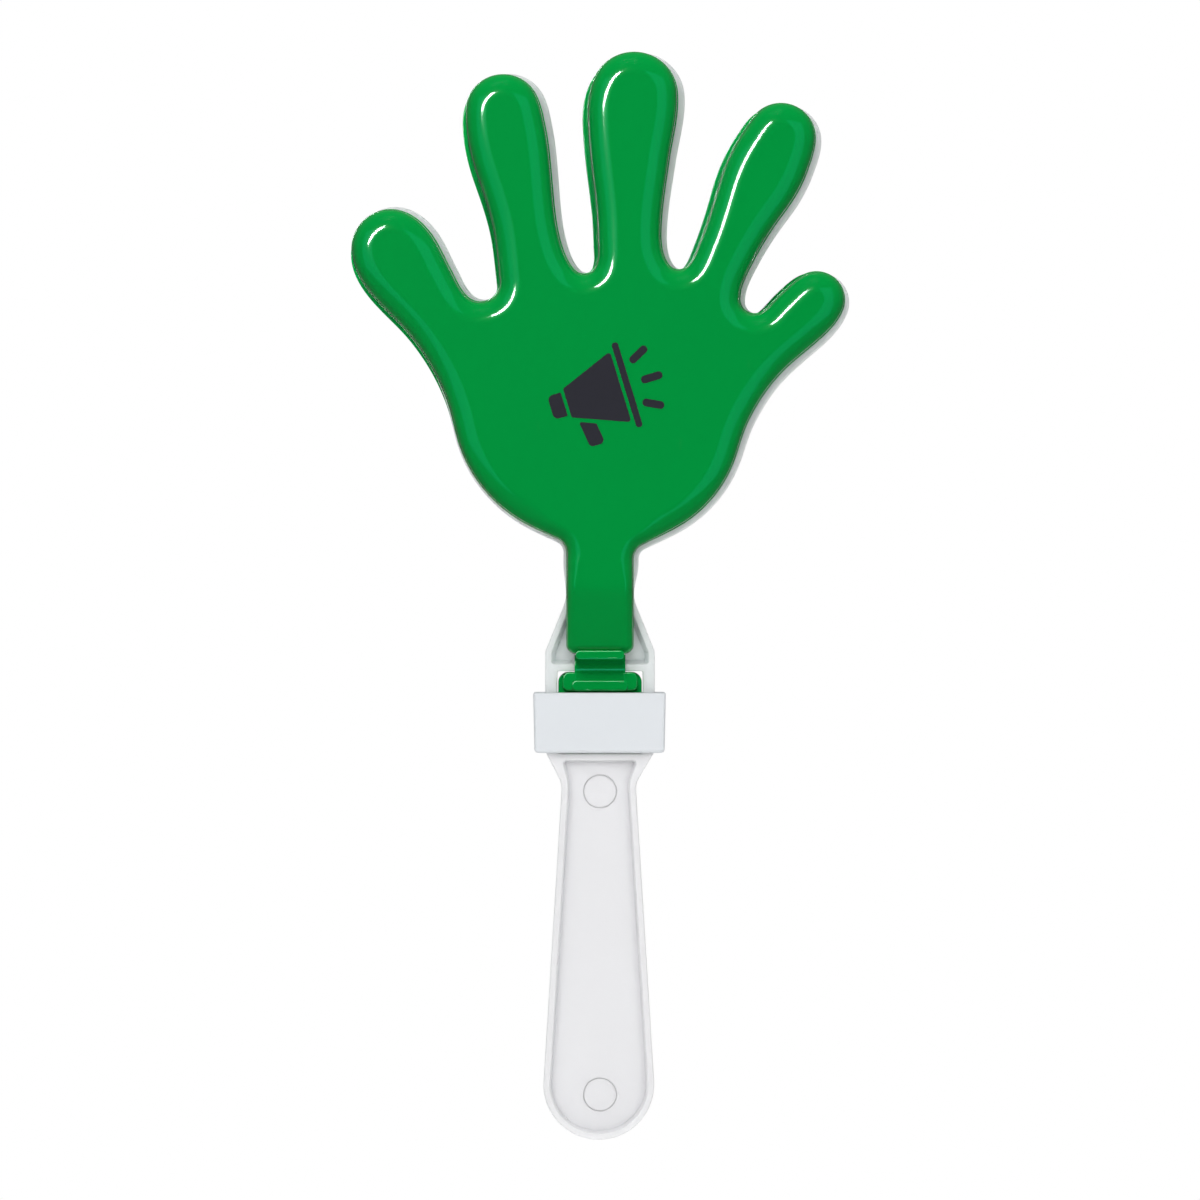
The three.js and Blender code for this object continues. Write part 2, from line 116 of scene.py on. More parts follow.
FRAME_LOW = SHOULDER + 8.2
FRAME_RADIUS = 3
FRAME_CORNERS = ((NECK_HALF, NECK, 8, True), (FRAME_HALF, CHEEK, FRAME_RADIUS))
GRIP_CORNERS = (
    (WAIST_HALF, WAIST, WAIST_RADIUS, True),
    (GRIP_HALF * (1 + GRIP_SLOPE), GRIP_END, GRIP_HALF),
)
GRIP_POCKET_TOP = SHOULDER - 1.8
POCKET_RADIUS = 0.8
POCKET_EDGE = 0.25
PIN_HEIGHTS = (39.6, -38.1)
PIN_SUNK = 0.115
# The white hand stands out past the green ones, by less above the heights of its finger roots.
MIDDLE_GROWTH = 1.3
FINGER_GROWTH = 0.65
FINGER_ROOTS = (66, 96)
MIDDLE_RIM = 2.2
MIDDLE_LEAN = 0.55
TIE = 2

# The collar. Its outer face leans in towards the bottom, and its bore widens at both ends.
COLLAR_DRAFT = 0.3
COLLAR_LEAD = 0.2
# The collar sits a little low and to the left of its middle place.
COLLAR_SHIFT = (-0.12, 0, -0.36)

# The green hands.
STEM_HALF = 8.3
STEM_BOTTOM = 3
STEM_TOP = 25.5
STEM_SLOPE_TOP = 20
STEM_CORNER = 2
SHELL_DEPTH = 8
SHELL_ROLL = 5
SHELL_WALL = 1.5
SHELL_GROWTH = 0.3
# The shell's outer section: a tight arc, a wide one and a nearly flat one, each with its first
# and last tilt from the flat face in degrees, and its radius. A faint crease lies before the last.
SHELL_ARCS = ((85.5, 26, 3.2), (26, 4.5, 9.3), (2.2, 0, 11))
SHELL_CREASE = 0.07
RIM_INSET = 0.18
RIM_DEPTHS = (0.3, 1)
# The shell's inner section.
INNER_RIM = 0.05
INNER_START = 0.6
INNER_CREASE = 0.3
# The rows of spots that carry the flat face down the stem.
FIRST_ROW = 3.4
ROW_STEP = 1.1
ROW_MARGIN = 0.6
# The stem's share of the palm's depth grows from its lowest value along a power curve.
LEAST_DEPTH_SHARE = 0.45
DEPTH_POWER = 1.15
# The rounded edge's share of its width on the palm, and the heights between which it grows.
LEAST_ROLL_SHARE = 0.4
ROLL_SPAN = (20, 38)
# The hinge line lies this far from the shell's open rim.
AXIS_OFF_RIM = 0.6
REST_OPENING = 1.5
LEANS = {FRONT: 0, BACK: -0.45}

# The hinges. A bead is measured from the hinge line, a foot from the handle's middle.
BEAD_HALF = 6.2
BEAD_SPAN = (STEM_BOTTOM - 1.6, STEM_BOTTOM + 0.65)
BEAD_RADIUS = 0.95
BEAD_DEPTHS = (-0.5, 4.1)
BEAD_EDGE = 0.4
FOOT_GAP = 0.25
FOOT_LOW = SHOULDER + FOOT_GAP
FOOT_TOP = WINDOW_TOP - FOOT_GAP
STEP_HALF = 9.4
BAR_HALF = 7.3
BAR_LOW = 65.35
BAR_HIGH = 68.1
EAR_HALF = 9.5
EAR_LOW = 65.5
# A strap bends between the foot's top and its own end. It starts inside the foot and stops
# inside the bead.
STRAP_LOW = WINDOW_TOP - 3.6
STRAP_HIGH = HINGE_Z + 2.4
STRAP_BOW_TOP = HINGE_Z + STEM_BOTTOM - 1.9

# The palm print, in the hand's own frame.
PRINT_CENTRE = (-1.6, 68.6)
PRINT_TILT = 17

# The stage, in metres.
FLOOR_RADIUS = 1.1
FLOOR_SIDES = 96
LAMP_DISTANCE = 1.6
WHITE_LIGHT = (1, 1, 1)
CREAM_LIGHT = (1, 0.99, 0.93)
WARM_LIGHT = (1, 0.95, 0.85)
LEAF_LIGHT = (0.06, 1, 0.76)


# Outlines. A station is a round stretch, a corner to be rounded, or a point with a heading.
def arc(x, z, radius, start, end):
    return ("arc", x, z, radius, start, end)


def corner(x, z, radius, start, end):
    return ("corner", x, z, radius, start, end)


def point(x, z, heading):
    return ("point", x, z, heading)


def hand_route(bottom, radius, steps):
    """The outline of a hand from the hinge line up, clockwise from the foot of its stem."""
    low = bottom + radius
    rungs = [low + (STEM_TOP - low) * i / steps for i in range(1, steps + 1)]
    return [
        *[point(-STEM_HALF, z, 90) for z in rungs],
        arc(-STEM_HALF - 4.5, 28.3, 4.5, 0, 66),
        # The heel of the palm and the thumb.
        arc(-2.4, 67.1, 35.1, 238, 199),
        point(-38.6, 66.6, 109),
        point(-48.3, 84, 129),
        point(-55.2, 91.3, 134),
        arc(-53.2, 105.9, 9.9, 182, 98),
        point(-43.1, 109.6, -54),
        point(-38.3, 100.8, -62),
        arc(-30.5, 97.3, 5, 226, 366),
        # The first finger.
        point(-26.8, 109, 99),
        point(-31.2, 124.5, 109),
        point(-34, 138, 93),
        arc(-24.7, 140.8, 9.3, 152, 48),
        point(-14.2, 137.5, -78),
        point(-12.2, 121, -85),
        point(-9.6, 105.8, -71),
        arc(-4.2, 102.7, 3.3, 225, 327),
        # The middle finger.
        point(-0.6, 109.1, 90),
        point(-1.8, 124, 97),
        point(-3.1, 139, 92),
        arc(8.7, 144.9, 10.9, 150, 5),
        point(17.5, 128.7, -98),
        point(15.4, 111, -92),
        arc(20, 103.8, 3.3, 215, 322),
        # The ring finger.
        point(25.5, 107.8, 68),
        point(30.2, 122, 74),
        point(36.5, 135.6, 56),
        arc(46.1, 134.2, 8.6, 133, 5),
        point(52.7, 125.9, -109),
        point(46.6, 115, -127),
        point(38.7, 102.4, -117),
        arc(39.4, 93.2, 3.9, 178, 308),
        # The little finger.
        point(46, 94.4, 43),
        arc(55.2, 93, 7, 117, -22),
        point(55.2, 82.5, -139),
        point(45.8, 74.2, -133),
        point(37.5, 61.8, -115),
        arc(3.9, 63.3, 32.2, -19, -61),
        arc(STEM_HALF + 4.3, 26.9, 4.3, 117, 180),
        *[point(STEM_HALF, z, -90) for z in reversed(rungs)],
        corner(STEM_HALF, bottom, radius, 0, -90),
        corner(-STEM_HALF, bottom, radius, -90, -180),
    ]


# How an outline is cut into steps, and how far its curves reach along their headings.
ARC_STEP = math.radians(4)
CURVE_STEP = 0.9
BOTTOM_STEPS = 8
LEAST_TURN = 2
MOST_REACH = 0.6


def settle(station, inset):
    """A station moved inwards: its points, and its first and last headings in degrees."""
    kind, x, z = station[:3]
    if kind == "point":
        a = math.radians(station[3])
        spot = (x + inset * math.sin(a), z - inset * math.cos(a))
        return [spot], station[3], station[3]
    radius, start, end = station[3:]
    clockwise = end < start
    r = radius - inset if clockwise else radius + inset
    cx, cz = x, z
    if kind == "corner":
        r = max(r, LEAST_RADIUS)
        middle = math.radians((start + end) / 2)
        cx -= math.copysign(inset + r, math.cos(middle))
        cz -= math.copysign(inset + r, math.sin(middle))
    sweep = math.radians(abs(end - start))
    steps = max(3, math.ceil(sweep / ARC_STEP))
    angles = np.radians(np.linspace(start, end, steps + 1))
    turn = -90 if clockwise else 90
    spots = list(zip(cx + r * np.cos(angles), cz + r * np.sin(angles)))
    return spots, start + turn, end + turn


def join_curve(p, heading_p, q, heading_q, steps):
    """The points of a smooth curve between two points with headings, without its ends."""
    p, q = np.array(p), np.array(q)
    chord = np.linalg.norm(q - p)
    turn = abs((heading_q - heading_p + 540) % 360 - 180)
    turn = math.radians(max(turn, LEAST_TURN))
    reach = min(2 * math.tan(turn / 4) / (3 * math.sin(turn / 2)), MOST_REACH) * chord
    a, b = math.radians(heading_p), math.radians(heading_q)
    first = p + reach * np.array((math.cos(a), math.sin(a)))
    second = q - reach * np.array((math.cos(b), math.sin(b)))
    t = (np.arange(1, steps) / steps)[:, None]
    s = 1 - t
    curve = s**3 * p + 3 * s * s * t * first + 3 * s * t * t * second + t**3 * q
    return [tuple(c) for c in curve]


def outline(stations, inset_at):
    """The closed outline through the stations, each moved inwards by its own distance."""
    settled = [settle(s, inset_at(s[2])) for s in stations]
    plain = [settle(s, 0) for s in stations]
    points = []
    count = len(stations)
    for i in range(count):
        points += settled[i][0]
        if stations[i][0] == "corner" and stations[(i + 1) % count][0] == "corner":
            steps = BOTTOM_STEPS
        else:
            gap = np.subtract(plain[(i + 1) % count][0][0], plain[i][0][-1])
            steps = max(2, math.ceil(np.linalg.norm(gap) / CURVE_STEP))
        here, there = settled[i], settled[(i + 1) % count]
        points += join_curve(here[0][-1], here[2], there[0][0], there[1], steps)
    return np.array(points)


def ease(t):
    """A smooth step from 0 to 1."""
    return t * t * (3 - 2 * t)


def depth_share(z):
    """How deep the shell is at a height above the hinge line, as a share of its palm depth."""
    t = np.clip((np.asarray(z, float) - STEM_BOTTOM) / (STEM_SLOPE_TOP - STEM_BOTTOM), 0, 1)
    return 1 - (1 - LEAST_DEPTH_SHARE) * (1 - t) ** DEPTH_POWER


def roll_share(z):
    """How wide the rounded edge is at a height, as a share of that on the palm."""
    low, high = ROLL_SPAN
    t = np.clip((np.asarray(z, float) - low) / (high - low), 0, 1)
    return LEAST_ROLL_SHARE + (1 - LEAST_ROLL_SHARE) * ease(t)


def shell_section(steps):
    """The shell's outer section as pairs of inset and depth, from its open rim to its flat face."""
    tilts = [np.radians(np.linspace(first, last, max(3, steps // i)))
             for i, (first, last, _) in enumerate(SHELL_ARCS, 1)]
    drops = [r * (math.cos(t[-1]) - math.cos(t[0])) for (_, _, r), t in zip(SHELL_ARCS, tilts)]
    wall_top = SHELL_DEPTH - sum(drops)
    draft = (wall_top - RIM_DEPTHS[1]) * math.tan(math.radians(90 - SHELL_ARCS[0][0]))
    pairs = [(RIM_INSET, depth) for depth in RIM_DEPTHS] + [(RIM_INSET + draft, wall_top)]
    inset, depth = pairs[-1]
    for (_, _, radius), tilt in zip(SHELL_ARCS, tilts):
        inset += SHELL_CREASE if radius == SHELL_ARCS[-1][2] else 0
        wide = inset + radius * (math.sin(tilt[0]) - np.sin(tilt))
        deep = depth + radius * (np.cos(tilt) - math.cos(tilt[0]))
        pairs += list(zip(wide[1:], deep[1:]))
        inset, depth = pairs[-1]
    return pairs


def mirrored(right):
    """Corners on the right, mirrored to the left, as one polygon."""
    return [*right, *[(-c[0], *c[1:]) for c in reversed(right)]]


def inset_corners(corners, inset):
    """The corners of a polygon moved inwards. A hollow corner's radius grows by as much."""
    flat = np.array([c[:2] for c in corners], float)
    following = np.roll(flat, -1, 0)
    area = np.sum(flat[:, 0] * following[:, 1] - following[:, 0] * flat[:, 1]) / 2
    along = following - flat
    along /= np.linalg.norm(along, axis=1)[:, None]
    side = math.copysign(1, area) * inset
    starts = flat + side * np.stack((-along[:, 1], along[:, 0]), 1)
    made = []
    for i, c in enumerate(corners):
        p, q = starts[i - 1], starts[i]
        u, v = along[i - 1], along[i]
        t = ((q[0] - p[0]) * v[1] - (q[1] - p[1]) * v[0]) / (u[0] * v[1] - u[1] * v[0])
        hollow = len(c) > 3
        radius = max(c[2] + inset if hollow else c[2] - inset, LEAST_RADIUS)
        made.append((*(p + t * u), radius, *c[3:]))
    return made


def rounded(corners, steps_per_turn=16):
    """The points of a polygon whose corners are rounded. A corner is x, z and its radius."""
    points = []
    count = len(corners)
    for i, (x, z, radius, *_) in enumerate(corners):
        here = np.array((x, z), float)
        back = np.array(corners[i - 1][:2]) - here
        on = np.array(corners[(i + 1) % count][:2]) - here
        back_length, on_length = np.linalg.norm(back), np.linalg.norm(on)
        back, on = back / back_length, on / on_length
        turn = math.pi - math.acos(np.clip(back @ on, -1, 1))
        if turn < 0.01:
            points.append((x, z))
            continue
        reach = min(radius * math.tan(turn / 2), min(back_length, on_length) / 2 - 0.02)
        r = reach / math.tan(turn / 2)
        bisector = (back + on) / np.linalg.norm(back + on)
        centre = here + bisector * r / math.cos(turn / 2)
        first = here + back * reach - centre
        way = -math.copysign(1, back[0] * on[1] - back[1] * on[0])
        steps = max(2, round(turn / (math.pi / 2) * steps_per_turn))
        for k in range(steps + 1):
            a = way * turn * k / steps
            c, s = math.cos(a), math.sin(a)
            x, z = centre + (first[0] * c - first[1] * s, first[0] * s + first[1] * c)
            points.append((x, z))
    return np.array(points)


def refine(ring, longest):
    """A closed ring with its long edges cut into even steps."""
    made = []
    for p, q in zip(ring, np.roll(ring, -1, 0)):
        steps = max(1, math.ceil(np.linalg.norm(q - p) / longest))
        made += [p + (q - p) * k / steps for k in range(steps)]
    return np.array(made)


def offset(ring, inset):
    """A dense ring moved inwards along its own normals."""
    on = np.roll(ring, -1, 0) - ring
    on /= np.maximum(np.linalg.norm(on, axis=1), 1e-9)[:, None]
    back = np.roll(on, 1, 0)
    normal = np.stack((-(on + back)[:, 1], (on + back)[:, 0]), 1)
    normal /= np.linalg.norm(normal, axis=1)[:, None]
    miter = np.maximum(np.sum(normal * np.stack((-on[:, 1], on[:, 0]), 1), 1), 0.5)
    following = np.roll(ring, -1, 0)
    area = np.sum(ring[:, 0] * following[:, 1] - following[:, 0] * ring[:, 1]) / 2
    return ring + math.copysign(1, area) * inset * normal / miter[:, None]


def quarter(radius, steps=4):
    """The steps of a quarter-round edge, as pairs: how far in, and how far down."""
    angles = np.linspace(0, math.pi / 2, steps + 1)
    return [(radius * (1 - math.sin(a)), radius * (1 - math.cos(a))) for a in angles]


class Skin:
    """The points and faces of one moulding, in millimetres."""

    def __init__(self):
        self.points = []
        self.faces = []
        self.flat = []

    def add(self, faces, flat=0):
        """Adds faces, marked as parts of a flat face or not."""
        self.faces += faces
        self.flat += [flat] * len(faces)

    def ring(self, flat, depth):
        """Adds a ring of x, z at one depth, or at a depth for each point."""
        start = len(self.points)
        depths = np.broadcast_to(np.asarray(depth, float), (len(flat),))
        self.points += [(x, y, z) for (x, z), y in zip(flat, depths)]
        return list(range(start, start + len(flat)))

    def tube(self, rings):
        """Joins each ring to the next, all of equal count."""
        for low, high in zip(rings, rings[1:]):
            self.add(list(zip(low, low[1:] + low[:1], high[1:] + high[:1], high)))

    def face(self, rings):
        """Fills the flat face inside the first ring and outside the others."""
        loops = [[Vector((self.points[i][0], self.points[i][2], 0)) for i in r] for r in rings]
        places = [i for r in rings for i in r]
        self.add([tuple(places[k] for k in t) for t in tessellate_polygon(loops)], 1)

    def floor(self, ring, depth_at, spots):
        """Fills a ring with a face that goes through inner spots, each at its own depth."""
        edge = [Vector((self.points[i][0], self.points[i][2])) for i in ring]
        inner = [Vector(s) for s in spots]
        made = delaunay_2d_cdt(edge + inner, [], [list(range(len(edge)))], 1, 1e-6)
        flat, _, triangles, sources = made[:4]
        places = []
        for spot, source in zip(flat, sources):
            known = [s for s in source if s < len(edge)]
            if known:
                places.append(ring[known[0]])
            else:
                places.append(len(self.points))
                self.points.append((spot.x, depth_at(spot.y), spot.y))
        self.add([tuple(places[k] for k in t) for t in triangles], 1)

    def mesh(self, name, matrix=None, large=None):
        """A mesh in metres, its faces turned outwards. Faces over an area in mm2 count as flat."""
        mesh = bpy.data.meshes.new(name)
        mesh.from_pydata([tuple(p) for p in self.points], [], self.faces)
        mesh.polygons.foreach_set("material_index", self.flat)
        if matrix is not None:
            mesh.transform(matrix)
        mesh.transform(Matrix.Scale(MM, 4))
        keep_flat(mesh, large)
        return mesh


def keep_flat(mesh, large=None):
    """Turns a mesh's faces outwards and smooths it, but holds its marked faces, and those over an
    area in mm2, flat right up to their edges."""
    bm = bmesh.new()
    bm.from_mesh(mesh)
    bmesh.ops.remove_doubles(bm, verts=bm.verts, dist=1e-7)
    bmesh.ops.dissolve_degenerate(bm, edges=bm.edges, dist=1e-8)
    bmesh.ops.recalc_face_normals(bm, faces=bm.faces)
    bm.to_mesh(mesh)
    bm.free()
    mesh.shade_smooth()
    count = len(mesh.polygons)
    marks = np.zeros(count, np.int32)
    mesh.polygons.foreach_get("material_index", marks)
    areas = np.zeros(count)
    mesh.polygons.foreach_get("area", areas)
    if large is not None:
        marks[areas > large * MM * MM] = 1
    normals = np.zeros(len(mesh.vertices) * 3, np.float32)
    mesh.vertex_normals.foreach_get("vector", normals)
    normals = normals.reshape(-1, 3)
    held = np.zeros_like(normals)
    for i in np.flatnonzero(marks):
        polygon = mesh.polygons[int(i)]
        held[list(polygon.vertices)] += np.array(polygon.normal) * areas[i]
    length = np.linalg.norm(held, axis=1)
    known = length > 0
    normals[known] = held[known] / length[known][:, None]
    mesh.normals_split_custom_set_from_vertices(normals)
    mesh.polygons.foreach_set("material_index", np.zeros(count, np.int32))


def finish_piece(name, mesh, material):
    """Links a mesh as a piece in its finish."""
    obj = bpy.data.objects.new(name, mesh)
    bpy.context.scene.collection.objects.link(obj)
    mesh.materials.clear()
    mesh.materials.append(material)
    return obj


# Node trees.
def pick(sockets, key):
    """A socket by its name, or by its number."""
    return sockets[int(key) if key.isdigit() else key]


def fill(tree, nodes, wires):
    """Fills a node tree, and returns its nodes by their labels.

    A node is its kind, its place, its settings and the values of its inputs. A wire is a line
    that reads "node.output > node.input", with the name or the number of each socket.
    """
    made = {}
    for label, (kind, place, *more) in nodes.items():
        made[label] = node = tree.nodes.new(kind)
        node.location = place
        settings, values = [*more, {}, {}][:2]
        for key, value in settings.items():
            setattr(node, key, value)
        for key, value in values.items():
            node.inputs[key].default_value = value
    for line in filter(str.strip, wires.splitlines()):
        (start, output), (end, entry) = (p.strip().split(".", 1) for p in line.split(">"))
        tree.links.new(pick(made[start].outputs, output), pick(made[end].inputs, entry))
    return made


def node_group(name, kind, inputs, outputs, nodes, wires):
    """A node group, made once. An input is its name, its sort and its default value, if any."""
    found = bpy.data.node_groups.get(name)
    if found:
        return found
    tree = bpy.data.node_groups.new(name, kind)
    for way, sockets in (("INPUT", inputs), ("OUTPUT", outputs)):
        for label, sort, *default in sockets:
            socket = tree.interface.new_socket(
                label, in_out=way, socket_type="NodeSocket" + sort)
            if default:
                socket.default_value = default[0]
    ends = {"in": ("NodeGroupInput", (-900, 0)), "out": ("NodeGroupOutput", (900, 0))}
    fill(tree, {**ends, **nodes}, wires)
    return tree


# Finishes.
PALE = (0.8, 0.8, 0.8, 1)

SHADER_GROUPS = {
    # Soft clouds of lighter and darker plastic, as the melt leaves them when it fills a mould.
    "Melt shade": (
        [("Vector", "Vector"), ("Colour", "Color", PALE), ("Scale", "Float", 30),
         ("Amount", "Float", 0.06)],
        [("Colour", "Color")],
        {
            "noise": ("ShaderNodeTexNoise", (-650, 100), {}, {"Detail": 3, "Distortion": 0.6}),
            "centre": ("ShaderNodeMath", (-650, -200), {"operation": "MULTIPLY_ADD"},
                       {1: -0.5, 2: 1}),
            "swing": ("ShaderNodeMath", (-430, -80), {"operation": "MULTIPLY_ADD"}),
            "shade": ("ShaderNodeVectorMath", (-200, 60), {"operation": "SCALE"}),
        },
        """
        in.Vector > noise.Vector
        in.Scale > noise.Scale
        in.Amount > centre.0
        noise.Fac > swing.0
        in.Amount > swing.1
        centre.0 > swing.2
        in.Colour > shade.0
        swing.0 > shade.Scale
        shade.Vector > out.Colour
        """,
    ),
    # The fine unevenness that a mould leaves on plastic: a soft ripple and a finer grain.
    "Mould grain": (
        [("Vector", "Vector"), ("Ripple scale", "Float", 120), ("Grain scale", "Float", 2500),
         ("Grain share", "Float", 0.3)],
        [("Height", "Float")],
        {
            "ripple": ("ShaderNodeTexNoise", (-600, 150), {}, {"Detail": 2}),
            "grain": ("ShaderNodeTexNoise", (-600, -120), {}, {"Detail": 4}),
            "both": ("ShaderNodeMix", (-250, 0), {"data_type": "FLOAT"}),
        },
        """
        in.Vector > ripple.Vector
        in.Ripple scale > ripple.Scale
        in.Vector > grain.Vector
        in.Grain scale > grain.Scale
        in.Grain share > both.0
        ripple.Fac > both.2
        grain.Fac > both.3
        both.0 > out.Height
        """,
    ),
    # A mask of the few fine scuffs that handling leaves: short, thin and far apart.
    "Fine scuffs": (
        [("Vector", "Vector"), ("Scale", "Float", 90), ("Amount", "Float", 0.5)],
        [("Mask", "Float")],
        {
            "turned": ("ShaderNodeMapping", (-700, 100), {},
                       {"Rotation": (0, math.radians(31), 0), "Scale": (1, 1, 0.12)}),
            "fine": ("ShaderNodeMath", (-700, -120), {"operation": "MULTIPLY"}, {1: 9}),
            "streak": ("ShaderNodeTexNoise", (-480, 150), {}, {"Detail": 1}),
            "where": ("ShaderNodeTexNoise", (-480, -140)),
            "thin": ("ShaderNodeMapRange", (-250, 150), {}, {"From Min": 0.7, "From Max": 0.76}),
            "sparse": ("ShaderNodeMapRange", (-250, -140), {},
                       {"From Min": 0.55, "From Max": 0.68}),
            "both": ("ShaderNodeMath", (-20, 0), {"operation": "MULTIPLY"}),
            "mask": ("ShaderNodeMath", (180, 0), {"operation": "MULTIPLY"}),
        },
        """
        in.Vector > turned.Vector
        in.Scale > fine.0
        turned.Vector > streak.Vector
        fine.0 > streak.Scale
        in.Vector > where.Vector
        in.Scale > where.Scale
        streak.Fac > thin.Value
        where.Fac > sparse.Value
        thin.0 > both.0
        sparse.0 > both.1
        both.0 > mask.0
        in.Amount > mask.1
        mask.0 > out.Mask
        """,
    ),
    # A colour with painted shade and a painted green bounce: a little greyer on the thin webs near
    # the middle plane, at the floor of each
    # # pocket, and tinted more with height, where the green pieces stand close by.
    "Thin wall": (
        [("Vector", "Vector"), ("Colour", "Color", PALE), ("Web", "Float", 0.001),
         ("Face", "Float", 0.0034), ("Shade", "Float", 1), ("Tint", "Color", (0.955, 1, 0.985, 1)),
         ("Tint low", "Float", 0.045), ("Tint high", "Float", 0.075)],
        [("Colour", "Color")],
        {
            "parts": ("ShaderNodeSeparateXYZ", (-700, 100)),
            "off": ("ShaderNodeMath", (-520, 100), {"operation": "ABSOLUTE"}),
            "share": ("ShaderNodeMapRange", (-340, 100), {}, {"To Max": 1}),
            "shade": ("ShaderNodeVectorMath", (-120, 60), {"operation": "SCALE"}),
            # The painted green bounce grows between these two heights.
            "height": ("ShaderNodeMapRange", (-340, -200), {"interpolation_type": "SMOOTHSTEP"}),
            "tinted": ("ShaderNodeMix", (150, 0), {"data_type": "RGBA", "blend_type": "MULTIPLY"}),
        },
        """
        in.Vector > parts.0
        parts.Y > off.0
        off.0 > share.Value
        in.Web > share.From Min
        in.Face > share.From Max
        in.Shade > share.To Min
        in.Colour > shade.0
        share.0 > shade.Scale
        parts.Z > height.Value
        in.Tint low > height.From Min
        in.Tint high > height.From Max
        height.0 > tinted.0
        shade.Vector > tinted.6
        in.Tint > tinted.7
        tinted.2 > out.Colour
        """,
    ),
}


def plastic(name, colour, roughness, *, shade, ripple, grain_share, scuffs,
            subsurface=0.0, gloss=0.5, tint=(1, 1, 1), thin=1.0):
    """A moulded plastic, made once, with its melt shade, mould grain and fine scuffs."""
    found = bpy.data.materials.get(name)
    if found:
        return found
    material = bpy.data.materials.new(name)
    material.use_nodes = True
    material.diffuse_color = (*colour, 1)
    material.node_tree.nodes.clear()

    def placed(label, y, values):
        tree = node_group(label, "ShaderNodeTree", *SHADER_GROUPS[label])
        return "ShaderNodeGroup", (-400, y), {"node_tree": tree}, values

    body = {"Specular IOR Level": gloss, "Specular Tint": (*tint, 1)}
    if subsurface:
        body.update({"Subsurface Weight": subsurface, "Subsurface Scale": 0.003,
                     "Subsurface Radius": (1, 1, 1)})
    rough = {"To Min": roughness, "To Max": min(roughness + 0.3, 1)}
    nodes = {
        "where": ("ShaderNodeTexCoord", (-700, 0)),
        "melt": placed("Melt shade", 250, {"Colour": (*colour, 1), "Amount": shade}),
        "grain": placed("Mould grain", 0, {"Grain share": grain_share}),
        "scuff": placed("Fine scuffs", -250, {"Amount": scuffs}),
        "rough": ("ShaderNodeMapRange", (-100, -150), {}, rough),
        "bump": ("ShaderNodeBump", (100, -300), {}, {"Distance": ripple}),
        "body": ("ShaderNodeBsdfPrincipled", (400, 0), {}, body),
        "end": ("ShaderNodeOutputMaterial", (700, 0)),
    }
    wires = """
        where.Object > melt.Vector
        where.Object > grain.Vector
        where.Object > scuff.Vector
        scuff.Mask > rough.Value
        rough.0 > body.Roughness
        grain.Height > bump.Height
        bump.Normal > body.Normal
        body.0 > end.Surface
    """
    # With thin below 1, the colour gets painted shade on the webs and a painted green bounce tint
    # with height.
    if thin < 1:
        nodes["wall"] = placed("Thin wall", 450, {"Shade": thin})
        wires += """
            where.Object > wall.Vector
            melt.Colour > wall.Colour
            wall.Colour > body.Base Color
        """
    else:
        wires += "melt.Colour > body.Base Color"
    fill(material.node_tree, nodes, wires)
    return material


def green_plastic():
    finish = bpy.context.scene.clapper_finish
    return plastic("green_gloss_plastic", finish.green[:], finish.green_roughness,
                   shade=0.05, ripple=0.000006, grain_share=0.05, scuffs=0.4,
                   tint=(0.75, 1, 0.92))


def white_plastic():
    finish = bpy.context.scene.clapper_finish
    # Painted shade: the webs get 0.94 of the colour, and a painted green bounce tints the handle
    # with height.
    return plastic("white_satin_plastic", finish.white[:], finish.white_roughness,
                   shade=0.03, ripple=0.00003, grain_share=0.45, scuffs=0.25,
                   subsurface=0.85, thin=0.94)


def collar_plastic():
    finish = bpy.context.scene.clapper_finish
    return plastic("collar_satin_plastic", finish.collar[:], finish.white_roughness - 0.05,
                   shade=0.025, ripple=0.00002, grain_share=0.4, scuffs=0.25,
                   subsurface=0.08)


def print_ink():
    finish = bpy.context.scene.clapper_finish
    return plastic("print_ink", finish.ink[:], 0.45, shade=0.12, ripple=0.00001,
                   grain_share=0.6, scuffs=0.6, gloss=0.2)


# Geometry Nodes.
def geometry_group(name, inputs, nodes, wires):
    """A Geometry Nodes tree that ends in Realize Instances and Set Material. Its own nodes end
    in the one labelled "last"."""
    ending = {
        "real": ("GeometryNodeRealizeInstances", (500, 0)),
        "paint": ("GeometryNodeSetMaterial", (700, 0)),
    }
    wires += """
        last.0 > real.0
        real.0 > paint.Geometry
        in.Finish > paint.Material
        paint.0 > out.0
    """
    inputs = [("Geometry", "Geometry"), *inputs, ("Finish", "Material")]
    return node_group(name, "GeometryNodeTree", inputs, [("Geometry", "Geometry")],
                      {**nodes, **ending}, wires)


def sweep_group(name, inputs, nodes, corners, wires, closed=False):
    """A Geometry Nodes tree that sweeps a section with rounded corners along the curve that the
    node labelled "path" makes. A corner is a pair of outputs, where None stands for 0."""
    inputs = [*inputs, ("Edge steps", "Int", 4)]
    nodes = {
        **nodes,
        "section": ("GeometryNodeCurvePrimitiveQuadrilateral", (-250, -150), {"mode": "POINTS"}),
        "soft": ("GeometryNodeFilletCurve", (-50, -150), {"mode": "POLY"}),
        "last": ("GeometryNodeCurveToMesh", (300, 100), {}, {"Fill Caps": closed}),
    }
    wires += """
        section.0 > soft.Curve
        in.Edge steps > soft.Count
        in.Edge radius > soft.Radius
        path.0 > last.Curve
        soft.0 > last.Profile Curve
    """
    for i, pair in enumerate(corners, 1):
        nodes[f"corner{i}"] = ("ShaderNodeCombineXYZ", (-500, 20 - 120 * i))
        wires += f"corner{i}.0 > section.Point {i}\n"
        for axis, output in enumerate(pair):
            if output:
                wires += f"{output} > corner{i}.{axis}\n"
    return geometry_group(name, inputs, nodes, wires)


